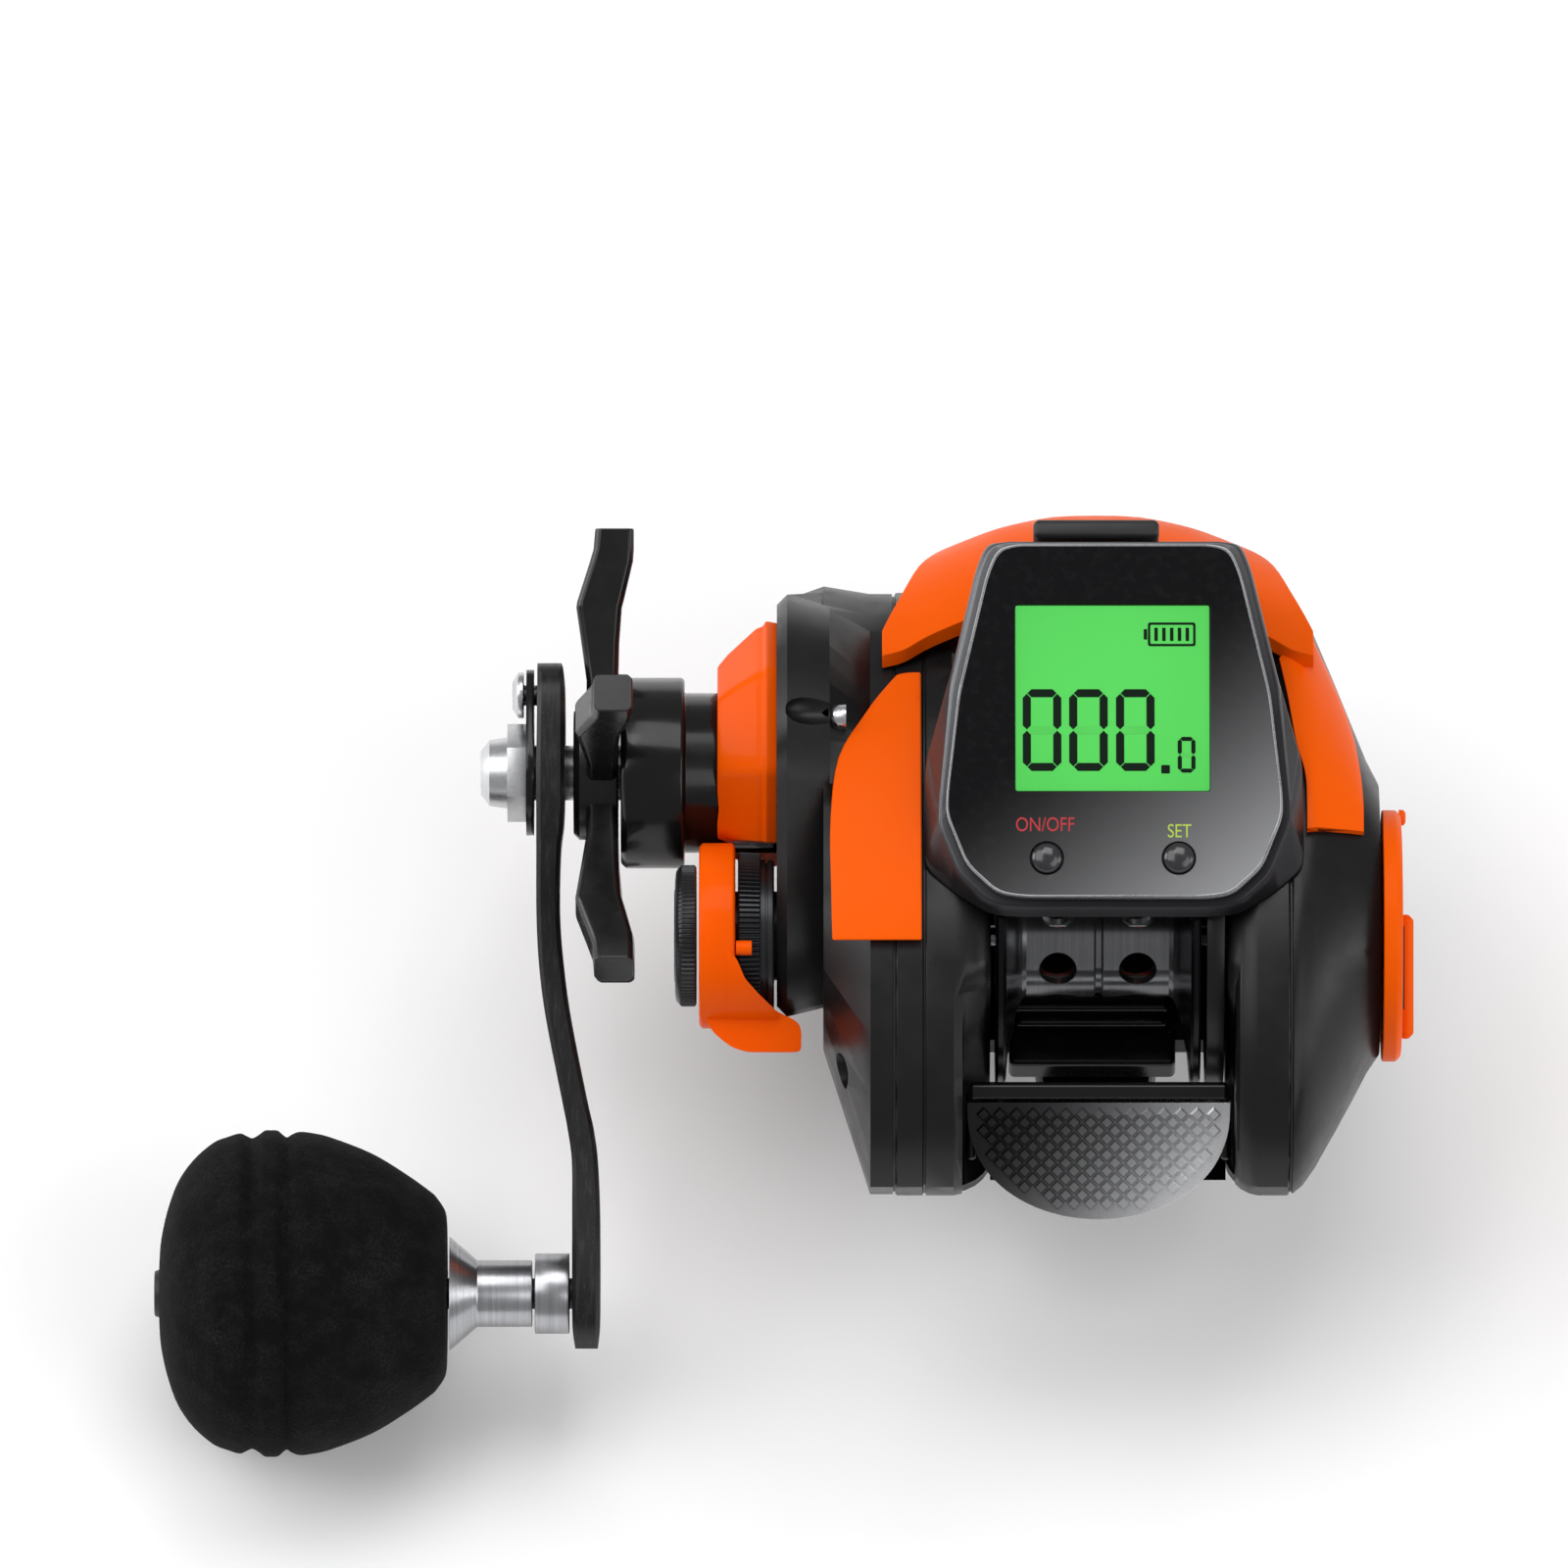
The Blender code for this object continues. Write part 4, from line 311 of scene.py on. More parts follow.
def softened(points, cut, steps=3):
    # every corner of the outline becomes a short curve that starts this far from it
    made = []
    for before, corner, after in zip(points[-1:] + points[:-1], points, points[1:] + points[:1]):
        corner = Vector(corner)
        legs = [Vector(other) - corner for other in (before, after)]
        start, end = (corner + leg.normalized() * min(cut, leg.length * 0.45) for leg in legs)
        for index in range(steps + 1):
            share = index / steps
            made.append(start.lerp(corner, share).lerp(corner.lerp(end, share), share))
    return made


def plated(loops, low, high, bm=None):
    # a flat plate between two heights; the loops after the first are holes through it
    bm = bm or bmesh.new()
    edges = []
    for loop in loops:
        row = list(bmesh.ops.create_circle(bm, segments=len(loop), radius=1.0)["verts"])
        for vert, point in zip(row, loop):
            vert.co = (point[0], point[1], low)
        edges += [bm.edges.get(pair) for pair in zip(row, row[1:] + row[:1])]
    filled = bmesh.ops.triangle_fill(bm, use_beauty=True, edges=edges)["geom"]
    faces = [item for item in filled if isinstance(item, bmesh.types.BMFace)]
    raised = bmesh.ops.extrude_face_region(bm, geom=faces)["geom"]
    lifted = [item for item in raised if isinstance(item, bmesh.types.BMVert)]
    bmesh.ops.translate(bm, vec=(0, 0, high - low), verts=lifted)
    return bm


def rimmed(bm, width, segments, height):
    # rounds only the edges that lie at this height
    roundEdges(bm, width, segments, 40.0, lambda edge: all(abs(v.co.z - height) < hair for v in edge.verts))
    return bm


def smoothRow(rows, steps):
    # more rows between the given ones, on a smooth curve through them
    rows = [Vector(row) for row in rows]
    made = []
    for index in range(len(rows) - 1):
        a, b, c, d = (rows[min(max(index + shift, 0), len(rows) - 1)] for shift in (-1, 0, 1, 2))
        for step in range(steps):
            t = step / steps
            bend, twist = a * 2 - b * 5 + c * 4 - d, b * 3 - a - c * 3 + d
            made.append((b * 2 + (c - a) * t + bend * t * t + twist * t ** 3) / 2)
    return made + [rows[-1]]


def between(table, value):
    # the table's second number at this first one, on straight lines
    for (a, low), (b, high) in zip(table, table[1:]):
        if value <= b:
            return low + (high - low) * max(value - a, 0.0) / (b - a)
    return table[-1][1]


def carved(bm, *cutters):
    # cuts the cutters' shapes out of the body
    holders = []
    for shape in (bm, *cutters):
        bmesh.ops.recalc_face_normals(shape, faces=shape.faces)
        mesh = bpy.data.meshes.new("carving")
        shape.to_mesh(mesh)
        shape.free()
        holder = bpy.data.objects.new("carving", mesh)
        bpy.context.scene.collection.objects.link(holder)
        holders.append(holder)
    for cutter in holders[1:]:
        change = holders[0].modifiers.new("cut", "BOOLEAN")
        change.operation = "DIFFERENCE"
        change.solver = "EXACT"
        change.object = cutter
    bpy.context.view_layer.update()
    seen = holders[0].evaluated_get(bpy.context.evaluated_depsgraph_get())
    made = bmesh.new()
    made.from_mesh(seen.to_mesh())
    seen.to_mesh_clear()
    for holder in holders:
        mesh = holder.data
        bpy.data.objects.remove(holder)
        bpy.data.meshes.remove(mesh)
    bmesh.ops.remove_doubles(made, verts=made.verts, dist=hair)
    return made


def placed(bm, place):
    bmesh.ops.transform(bm, matrix=place, verts=bm.verts)
    return bm


def lettered(name, text, size, middle, level, place, finish, body):
    # a word as a thin raised print, set narrow
    curve = bpy.data.curves.new(name, "FONT")
    curve.body = text
    curve.size = size
    curve.align_x = "CENTER"
    curve.align_y = "CENTER"
    curve.extrude = 0.00001
    holder = bpy.data.objects.new(name, curve)
    bpy.context.scene.collection.objects.link(holder)
    bpy.context.view_layer.update()
    flat = bpy.data.meshes.new_from_object(holder)
    bpy.data.objects.remove(holder)
    bm = bmesh.new()
    bm.from_mesh(flat)
    bpy.data.meshes.remove(flat)
    bmesh.ops.scale(bm, vec=(0.80, 1.0, 1.0), verts=bm.verts)
    moved(bm, Vector((middle[0], middle[1], level)))
    finished(name, placed(bm, place), finish, body)


def toned(colour, by):
    return tuple(min(part * by, 1.0) for part in colour)


def plainPlastic(name, colour, roughness, grain=0.25, coat=0.0, shade=0.12, grainSize=0.00016, gloss=0.5):
    # moulded plastic: faint cloudy shade, fine spark-eroded grain and handling marks in the gloss
    made = Finish(name, Metallic=0.0)
    cloud = made.noise(60.0, 3.0)
    grains = made.noise(1.0 / grainSize, 2.0, 0.6)
    wear = made.noise(240.0, 5.0, 0.65)
    made.tinted(cloud, toned(colour, 1.0 - shade), colour, 0.35, 0.65)
    made.roughened(wear, roughness - 0.06, roughness + 0.07)
    made.set("Specular IOR Level", gloss)
    if coat:
        made.coated(coat, 0.08)
    made.set("Normal", made.bump(grains, grain, grainSize * 0.25))
    return made


def turnedMetal(name, colour, roughness, lines=5200.0, depth=0.22, metallic=1.0):
    # metal off a lathe: fine rings round the X axis, with a slow change of tone along it
    made = Finish(name, Metallic=metallic)
    rings = made.noise(1.0, 2.0, 0.7, at=made.stretched(lines, 60.0, 60.0))
    tone = made.noise(90.0, 3.0)
    made.tinted(rings, toned(colour, 0.82), toned(colour, 1.12))
    made.roughened(tone, roughness - 0.05, roughness + 0.07)
    made.set("Normal", made.bump(rings, depth, 0.00003))
    return made


def castMetal(name, colour, roughness, metallic=1.0, pits=0.15, size=0.0003):
    made = Finish(name, Metallic=metallic)
    grain = made.noise(1.0 / size, 4.0, 0.6)
    stain = made.noise(130.0, 4.0, 0.6)
    made.tinted(stain, toned(colour, 0.78), colour)
    made.roughened(grain, roughness - 0.06, roughness + 0.08)
    made.set("Normal", made.bump(grain, pits, size * 0.2))
    return made


def foamSkin(name):
    # foam: soft mottling, pores and a dusty bloom on the crests
    made = Finish(name, Roughness=0.92)
    cells = made.ask("ShaderNodeTexVoronoi", Vector=made.place, Scale=2100.0)
    fine = made.noise(3200.0, 3.0, 0.6)
    cloud = made.noise(210.0, 5.0, 0.7)
    pores = made.spread(cells, 0.0, 1.0, 0.15, 0.6)
    dust = made.spread(cloud, 0.0, 1.0, 0.42, 0.75) * made.spread(fine, 0.0, 1.0, 0.35, 0.7)
    made.set("Base Color", made.mixed(dust, (0.0028, 0.0028, 0.0030), (0.020, 0.020, 0.0205)))
    height = pores * 0.6 + fine * 0.4 + cloud * 0.5
    made.set("Normal", made.bump(height, 0.55, 0.00022))
    made.set("Specular IOR Level", 0.12)
    return made


def smokedPlate(name, low, high):
    # glossy display plate: nearly black, with a painted reflection that makes it paler toward its lower right
    # corner
    made = Finish(name, Metallic=0.0)
    x = made.spread(made.axisPart(0), 0.0, 1.0, low.x, high.x)
    y = made.spread(made.axisPart(1), 1.0, 0.0, low.y, high.y)
    # painted reflection: the base colour pales toward the lower right corner, where a lamp's reflection would
    # lie
    paintedReflection = made.spread(x * 0.55 + y * 0.75, 0.0, 1.0, 0.55, 1.35)
    dust = made.noise(900.0, 2.0)
    colour = made.mixed(paintedReflection ** 2.0, (0.0035, 0.0035, 0.0042), (0.40, 0.403, 0.41))
    made.set("Base Color", made.mixed(made.spread(dust, 0.0, 0.02, 0.5, 0.8), colour, (0.2, 0.2, 0.2)))
    made.set("Roughness", made.spread(dust, 0.13, 0.19))
    made.set("Specular IOR Level", 0.14)
    made.set("Coat Weight", 0.06)
    return made


def glowingScreen(name, low, high):
    # a lit panel: green with a slight fall-off to its edges and faint clouds
    made = Finish(name, Roughness=0.28)
    x = made.spread(made.axisPart(0), -1.0, 1.0, low.x, high.x)
    y = made.spread(made.axisPart(1), -1.0, 1.0, low.y, high.y)
    edge = made.spread(x * x + y * y, 0.0, 1.0, 0.2, 2.0)
    cloud = made.noise(160.0, 2.0)
    green = made.mixed(edge, (0.066, 0.57, 0.074), (0.056, 0.51, 0.063))
    made.set("Base Color", made.mixed(cloud * 0.12, green, (0.12, 0.70, 0.13)))
    made.set("Emission Color", made.mixed(edge, (0.05, 0.52, 0.07), (0.03, 0.42, 0.05)))
    made.set("Emission Strength", 0.12)
    made.coated(0.35, 0.12)
    return made


def flakedPaint(name, colour, roughness=0.16):
    # glossy lacquer over a faint flake, with shallow ripples
    made = Finish(name, Metallic=0.0)
    flake = made.noise(5200.0, 1.0)
    ripple = made.noise(160.0, 2.0)
    cloud = made.noise(45.0, 3.0)
    warm = (colour[0], colour[1] * 0.85, colour[2])
    base = made.mixed(made.spread(cloud, 0.0, 0.5, 0.35, 0.65), colour, warm)
    made.set("Base Color", made.mixed(made.spread(flake, 0.0, 0.10, 0.55, 0.8), base, (1.0, 0.16, 0.002)))
    made.set("Roughness", made.spread(flake, roughness + 0.1, roughness + 0.2))
    made.set("Specular IOR Level", 0.03)
    made.coated(0.06, 0.03)
    made.set("Normal", made.bump(ripple, 0.08, 0.0004))
    return made


def anodisedArm(name):
    # black anodising over a rolled bar: near black, with fine lengthwise scuffs and bright specks
    made = Finish(name, Metallic=0.35)
    scuff = made.noise(1.0, 3.0, 0.6, at=made.stretched(2600.0, 320.0, 320.0))
    speck = made.noise(4800.0, 1.0)
    marks = made.spread(scuff, 0.0, 1.0, 0.52, 0.85)
    base = made.mixed(marks, (0.007, 0.007, 0.0078), (0.035, 0.035, 0.037))
    made.set("Base Color", made.mixed(made.spread(speck, 0.0, 0.35, 0.66, 0.82), base, (0.12, 0.12, 0.125)))
    made.roughened(scuff, 0.34, 0.52)
    made.set("Normal", made.bump(scuff, 0.2, 0.00003))
    return made


faceLow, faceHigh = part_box("face_plate")
screenLow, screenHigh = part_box("lcd_panel")

orangePlastic = plainPlastic(
    "orange shell plastic", (0.875, 0.103, 0.0010), 0.38, grain=0.12, shade=0.04, gloss=0.05,
)
orangeLacquer = flakedPaint("orange lacquer", (0.90, 0.102, 0.0006))
blackPlastic = plainPlastic(
    "black body plastic", (0.0066, 0.0066, 0.0073), 0.33, grain=0.22, shade=0.15, gloss=0.27,
)
blackLacquer = plainPlastic(
    "black lacquer", (0.0045, 0.0045, 0.0050), 0.20, grain=0.05, coat=0.2, shade=0.15, gloss=0.25,
)
# painted highlight: the base colour is paler toward its far left corner, standing in for a lamp's reflection
# on the left bevel
podPlastic = castMetal("graphite lacquer", (0.17, 0.172, 0.18), 0.34, metallic=0.8, pits=0.02)
paintedBevelHighlight = podPlastic.spread(podPlastic.axisPart(1) - podPlastic.axisPart(0) * 0.8, 0.0, 1.0, -0.008, 0.026)
podPlastic.set("Base Color", podPlastic.mixed(paintedBevelHighlight, (0.024, 0.024, 0.027), (0.125, 0.127, 0.134)))
# paler metal for the plate's rim: a painted highlight along the plate's edge
paintedHighlightRim = castMetal("plate rim", (0.30, 0.303, 0.31), 0.30, metallic=0.9, pits=0.01)
# painted highlight: the base colour is bright toward its near right corner, standing in for glints from a
# lamp
thumbPlastic = castMetal("thumb bar lacquer", (0.22, 0.223, 0.23), 0.22, metallic=0.75, pits=0.02)
lit = thumbPlastic.spread(thumbPlastic.axisPart(0) - thumbPlastic.axisPart(1) * 0.9, 0.0, 1.0, 0.014, 0.043)
thumbPlastic.set("Base Color", thumbPlastic.mixed(lit ** 2.4, (0.022, 0.022, 0.024), (0.80, 0.805, 0.815)))
starFinish = plainPlastic(
    "star wheel coating", (0.0060, 0.0060, 0.0065), 0.25, grain=0.14, shade=0.2, coat=0.1, gloss=0.3,
)
armFinish = anodisedArm("black anodised arm")
plateFinish = smokedPlate("smoked counter plate", faceLow, faceHigh)
screenFinish = glowingScreen("lit counter screen", screenLow, screenHigh)
foamFinish = foamSkin("black knob foam")
collarSteel = turnedMetal("turned collar steel", (0.42, 0.425, 0.44), 0.28)
nutSteel = castMetal("nut steel", (0.66, 0.665, 0.675), 0.32)
screwSteel = castMetal("screw steel", (0.68, 0.685, 0.70), 0.26)
shaftSteel = turnedMetal("shaft steel", (0.50, 0.505, 0.52), 0.22)
spoolAlloy = turnedMetal("dark anodised spool", (0.20, 0.203, 0.213), 0.22, lines=4200.0, metallic=0.9)
# the drum is bright and its flanges are dark
offAxis = [spoolAlloy.axisPart(part) - spoolAxis[part] for part in (1, 2)]
away = (offAxis[0] * offAxis[0] + offAxis[1] * offAxis[1]) ** 0.5
flange = spoolAlloy.spread(away, 0.0, 1.0, 0.0072, 0.0090)
turned = Flow(spoolAlloy.tree, spoolAlloy.shader.inputs["Base Color"].links[0].from_socket)
spoolAlloy.set("Base Color", spoolAlloy.mixed(flange, turned, (0.012, 0.012, 0.014)))
barrelAlloy = turnedMetal("dark cast-control alloy", (0.030, 0.031, 0.034), 0.30, metallic=0.6)
gearBrass = castMetal("gear brass", (0.72, 0.48, 0.17), 0.28)
gearPlastic = plainPlastic("white gear plastic", (0.70, 0.70, 0.71), 0.42)
boardFinish = plainPlastic("green circuit board", (0.010, 0.11, 0.032), 0.40)
cellFoil = castMetal("battery foil", (0.52, 0.54, 0.57), 0.36, metallic=0.6)
magnetPlate = castMetal("magnet plating", (0.42, 0.42, 0.44), 0.20)
washerFibre = plainPlastic("drag washer fibre", (0.12, 0.09, 0.06), 0.72, grain=0.6)
rubberBlack = plainPlastic("black rubber", (0.0105, 0.0105, 0.0115), 0.52, grain=0.35, shade=0.25)
eyeCeramic = plainPlastic("line eye ceramic", (0.16, 0.165, 0.18), 0.12, grain=0.03, coat=0.4)
redPrint = plainPlastic("red print", (0.46, 0.012, 0.020), 0.45, grain=0.1)
limePrint = plainPlastic("lime print", (0.40, 0.56, 0.05), 0.45, grain=0.1)
screenInk = plainPlastic("screen segments", (0.0025, 0.010, 0.004), 0.6, grain=0.05, gloss=0.1)
ghostInk = plainPlastic("unlit segments", (0.070, 0.60, 0.079), 0.35, grain=0.05)
buttonFinish = plainPlastic("smoked button", (0.020, 0.020, 0.023), 0.22, grain=0.05, coat=0.4)
print("finishes ready")


def crafted(name, bm, finish, body, replaced=(), sharp=50.0):
    # finishes a piece that was made in millimetres
    bmesh.ops.scale(bm, vec=(mm, mm, mm), verts=bm.verts)
    piece = finished(name, bm, finish, body, replaced, sharp)
    soft = piece.modifiers.new("even shading", "WEIGHTED_NORMAL")
    soft.keep_sharp = True


pod = {
    "middle": (1.7, 6.8, 52.9), "tilt": 15.0, "half": (19.4, 21.5), "underside": 43.9,
    # half outlines from front to rear, as shares of the half sizes
    "face": [
        (0.60, 1.0), (0.70, 0.97), (0.76, 0.84), (0.93, 0.19), (1.0, -0.38),
        (1.0, -0.49), (0.88, -0.76), (0.70, -0.91), (0.55, -0.93),
    ],
    "skirt": [
        (0.62, 1.03), (0.74, 1.0), (0.80, 0.87), (0.97, 0.34), (1.12, -0.15),
        (1.13, -0.72), (0.94, -0.89), (0.72, -1.02), (0.56, -1.03),
    ],
    "corner": 1.3, "foremost": 22.145,
    # its shell's rings: outline, how far inside it, height
    "rings": [
        ("face", 0.5, -1.5), ("face", -0.75, -1.5), ("face", -1.15, -2.3), ("skirt", 0.0, -4.8),
        ("skirt", 0.0, -26.0),
    ],
    "plateLow": -1.2, "screenTop": -0.2, "gap": 0.08,
    "screen": (-0.2, 3.4), "screenHalf": (11.2, 10.9), "buttons": (7.6, -15.4), "buttonHole": 1.98,
}
podPlace = Matrix.Translation(Vector(pod["middle"])) @ Matrix.Rotation(math.radians(pod["tilt"]), 4, "X")


def podOutline(shares, inset=0.0):
    # an outline drawn in by this much, and cut off at its foremost line
    halfWidth, halfLength = pod["half"]
    right = []
    for wide, along in shares:
        y = halfLength * along - (inset if along > 0 else -inset)
        right.append((halfWidth * wide - inset, min(y, pod["foremost"])))
    return softened(right + [(-x, y) for x, y in reversed(right)], pod["corner"], 4)


def oblong(middle, half, cut=0.3):
    (x, y), (wide, high) = middle, half
    left, right, low, top = x - wide, x + wide, y - high, y + high
    return softened([(right, top), (right, low), (left, low), (left, top)], cut)


def disc(middle, radius, count=28):
    angles = [math.tau * step / count for step in range(count)]
    return [(middle[0] + radius * math.cos(angle), middle[1] + radius * math.sin(angle)) for angle in angles]


# the charging socket, and the opening that it stands in
jack = {
    "half": (4.2, 1.5), "corner": 1.1, "sheet": 0.35, "deep": 6.0, "place": (0.0, 15.845, -4.2),
    "base": 0.9, "tongue": (5.4, 0.62, 4.6), "hole": (8.9, 8.4, 3.5), "holeMiddle": (0.0, 19.9, -4.2),
}

podShell = grown([
    [(x, y, height) for x, y in podOutline(pod[shape], inset)] for shape, inset, height in pod["rings"]
])
roundEdges(podShell, 0.3, 3, 17.0, lambda edge: edge.link_faces[0].calc_area() < 200)
placed(podShell, podPlace)
bmesh.ops.bisect_plane(
    podShell, geom=podShell.verts[:] + podShell.edges[:] + podShell.faces[:], dist=0.0001,
    plane_co=(0, 0, pod["underside"]), plane_no=(0, 0, 1), clear_inner=True,
)
bmesh.ops.holes_fill(podShell, edges=[edge for edge in podShell.edges if edge.is_boundary], sides=0)
podShell = carved(podShell, placed(brick(jack["hole"], jack["holeMiddle"]), podPlace))
crafted("counter_housing", podShell, podPlastic, "body", ("display_housing",))

buttonX, buttonY = pod["buttons"]
screenX = pod["screen"][0]
buttonPlaces = [(screenX - buttonX, buttonY), (screenX + buttonX, buttonY)]
wide, high = pod["screenHalf"]
plate = plated(
    [podOutline(pod["face"]), oblong(pod["screen"], (wide + pod["gap"], high + pod["gap"]))]
    + [disc(place, pod["buttonHole"]) for place in buttonPlaces],
    pod["plateLow"], 0.0,
)
rimmed(plate, 0.18, 3, 0.0)
crafted("counter_plate", placed(plate, podPlace), plateFinish, "body", ("face_plate",))

inner = [side - jack["sheet"] for side in jack["half"]]
jackShell = plated(
    [oblong((0.0, 0.0), jack["half"], jack["corner"]), oblong((0.0, 0.0), inner, jack["corner"] - 0.2)],
    0.0, jack["deep"],
)
roundEdges(jackShell, 0.1, 2, 60.0)
jackPlace = podPlace @ Matrix.Translation(jack["place"]) @ Matrix.Rotation(math.radians(-90.0), 4, "X")
crafted("charging_jack", placed(jackShell, jackPlace), screwSteel, "body", ("charging_socket",))
tongue = brick((inner[0] * 2 - 0.1, inner[1] * 2 - 0.1, jack["base"]), (0.0, 0.0, 0.6))
brick(jack["tongue"], (0.0, 0.0, jack["tongue"][2] / 2 + jack["base"]), tongue)
roundEdges(tongue, 0.1, 2, 60.0)
crafted("charging_tongue", placed(tongue, jackPlace), rubberBlack, "body")

# a real rim round the plate, whose paler metal paints the highlight that the plate's chamfer would catch
paintedHighlightEdging = {"inside": (0.02, 0.30), "low": -0.4, "high": 0.03}
edge = plated([podOutline(pod["face"], inset) for inset in paintedHighlightEdging["inside"]], paintedHighlightEdging["low"], paintedHighlightEdging["high"])
rimmed(edge, 0.05, 2, paintedHighlightEdging["high"])
crafted("plate_edge_painted_highlight", placed(edge, podPlace), paintedHighlightRim, "body", ())

panel = plated([oblong(pod["screen"], pod["screenHalf"])], pod["plateLow"], pod["screenTop"])
rimmed(panel, 0.05, 2, pod["screenTop"])
crafted("counter_screen", placed(panel, podPlace), screenFinish, "body", ("lcd_panel",))

dome = [(-0.7, 0.0), (-0.7, 1.75), (0.0, 1.8), (0.3, 1.68), (0.58, 1.3), (0.74, 0.75), (0.8, 0.0)]
upright = Matrix.Rotation(-math.pi / 2, 4, "Y")
for (x, y), node, body in zip(buttonPlaces, ("power_button", "set_button"), ("power", "set")):
    cap = placed(spun(dome, 32), podPlace @ Matrix.Translation((x, y, 0.0)) @ upright)
    crafted(node + "_cap", cap, buttonFinish, body, (node,))

readout = {
    # lower left corner, width, height and stroke of every figure
    "figures": [
        (-10.55, -5.15, 4.45, 9.6, 0.94), (-5.2, -5.15, 4.45, 9.6, 0.94),
        (0.2, -5.15, 4.45, 9.6, 0.94), (7.3, -5.35, 2.05, 4.2, 0.48),
    ],
    "lit": "abcdef", "unlit": "g", "point": (5.9, -4.95, 0.5), "thick": 0.03,
    # the battery sign's middle and half sizes, its wall, its cap and its bars
    "battery": (6.65, 10.9, 2.75, 1.4), "wall": 0.28, "cap": (0.2, 0.62), "bars": 5, "barApart": 0.9,
}


def printed(loops, bm):
    # flat print on the screen
    plated(loops, pod["screenTop"], pod["screenTop"] + readout["thick"], bm)


def bar(x, y, length, stroke, upward, bm):
    # one segment of a figure, with mitred ends
    half, rise = length / 2, stroke / 2
    shape = [
        (-half, 0.0), (rise - half, rise), (half - rise, rise), (half, 0.0), (half - rise, -rise),
        (rise - half, -rise),
    ]
    if upward:
        shape = [(-b, a) for a, b in shape]
    printed([[(x + a, y + b) for a, b in shape]], bm)


def figure(x, y, width, height, stroke, chosen, bm):
    left, right = x + stroke / 2, x + width - stroke / 2
    low, mid, top = y + stroke / 2, y + height / 2, y + height - stroke / 2
    across, along = right - left - stroke * 0.16, top - mid - stroke * 0.16
    centre, lower, upper = (left + right) / 2, (low + mid) / 2, (mid + top) / 2
    places = {
        "a": (centre, top, across), "b": (right, upper, along), "c": (right, lower, along),
        "d": (centre, low, across), "e": (left, lower, along), "f": (left, upper, along),
        "g": (centre, mid, across),
    }
    for letter in chosen:
        bar(*places[letter], stroke, letter in "bcef", bm)


ink, ghost = bmesh.new(), bmesh.new()
for spot in readout["figures"]:
    figure(*spot, readout["lit"], ink)
    figure(*spot, readout["unlit"], ghost)
pointX, pointY, pointHalf = readout["point"]
printed([oblong((pointX, pointY), (pointHalf, pointHalf), 0.15)], ink)
cellX, cellY, cellWide, cellHigh = readout["battery"]
wall = readout["wall"]
cell = (cellX, cellY)
printed([oblong(cell, (cellWide, cellHigh)), oblong(cell, (cellWide - wall, cellHigh - wall), 0.15)], ink)
printed([oblong((cellX - cellWide - wall, cellY), readout["cap"], 0.08)], ink)
for step in range(readout["bars"]):
    printed([oblong((cellX - 1.8 + step * readout["barApart"], cellY), (0.2, cellHigh - 0.62), 0.05)], ink)
crafted("screen_figures", placed(ink, podPlace), screenInk, "body")
crafted("screen_ghost_bars", placed(ghost, podPlace), ghostInk, "body")

metrePlace = Matrix.Scale(mm, 4) @ podPlace @ Matrix.Scale(1 / mm, 4)
words = [
    # name, text, size and middle in metres, finish, slot
    ("power_word", "ON/OFF", 0.00235, (-0.0080, -0.01154), redPrint, "red_button"),
    ("set_word", "SET", 0.00225, (0.00747, -0.0123), limePrint, "lime_button"),
]
for name, text, size, middle, finish, slot in words:
    lettered(name, text, size, middle, 0.00001, metrePlace, finish, "body")
print("counter built")

skin = {
    "middle": (-1.0, 25.0), "reach": 37.7, "height": 19.5, "deck": 43.6, "opening": 12.4,
    "palmStart": 22.3, "palmWidth": 10.3, "palmMiddle": -7.0, "palmDrop": 0.45,
    "palmShares": [
        (0.0, 1.0), (0.12, 0.965), (0.26, 0.895), (0.51, 0.735), (0.70, 0.61), (0.86, 0.50), (1.0, 0.425),
    ],
}


def skinTop(x, y):
    # how high the body's skin stands over this point
    share = min(max((x - skin["palmStart"]) / skin["palmWidth"], 0.0), 1.0)
    left = between(skin["palmShares"], share)
    middle = skin["middle"][0] + (skin["palmMiddle"] - skin["middle"][0]) * (1 - left)
    inside = max(1 - ((y - middle) / (skin["reach"] * left)) ** 2, 0.0)
    height = skin["height"] * (1 - (1 - left) * skin["palmDrop"])
    return min(skin["middle"][1] + height * math.sqrt(inside), skin["deck"])


def laid(rows, across, low, high):
    # a curved sheet over the skin; every row runs from one (x, y) to another
    rings = []
    for row in rows:
        points = []
        for step in range(across + 1):
            share = step / across
            points.append((row[0] + (row[2] - row[0]) * share, row[1] + (row[3] - row[1]) * share))
        upper = [(x, y, skinTop(x, y) + high) for x, y in points]
        rings.append(upper + [(x, y, skinTop(x, y) + low) for x, y in reversed(points)])
    return grown(rings)


rightBand = {
    # inner and outer ends of its rows, from front to rear
    "rows": [
        (21.0, 21.0, 25.0, 26.3), (21.9, 15.4, 27.5, 20.5), (22.8, 9.1, 29.4, 14.5),
        (23.8, 5.1, 30.2, 9.0), (24.0, 1.7, 30.6, 3.8), (24.0, -2.3, 30.6, -1.1),
    ],
    "low": 0.2, "high": 1.25,
}
band = laid(smoothRow(rightBand["rows"], 4), 12, rightBand["low"], rightBand["high"])
roundEdges(band, 0.2, 2, 50.0)
crafted("right_band", band, orangePlastic, "body", ("right_trim",))

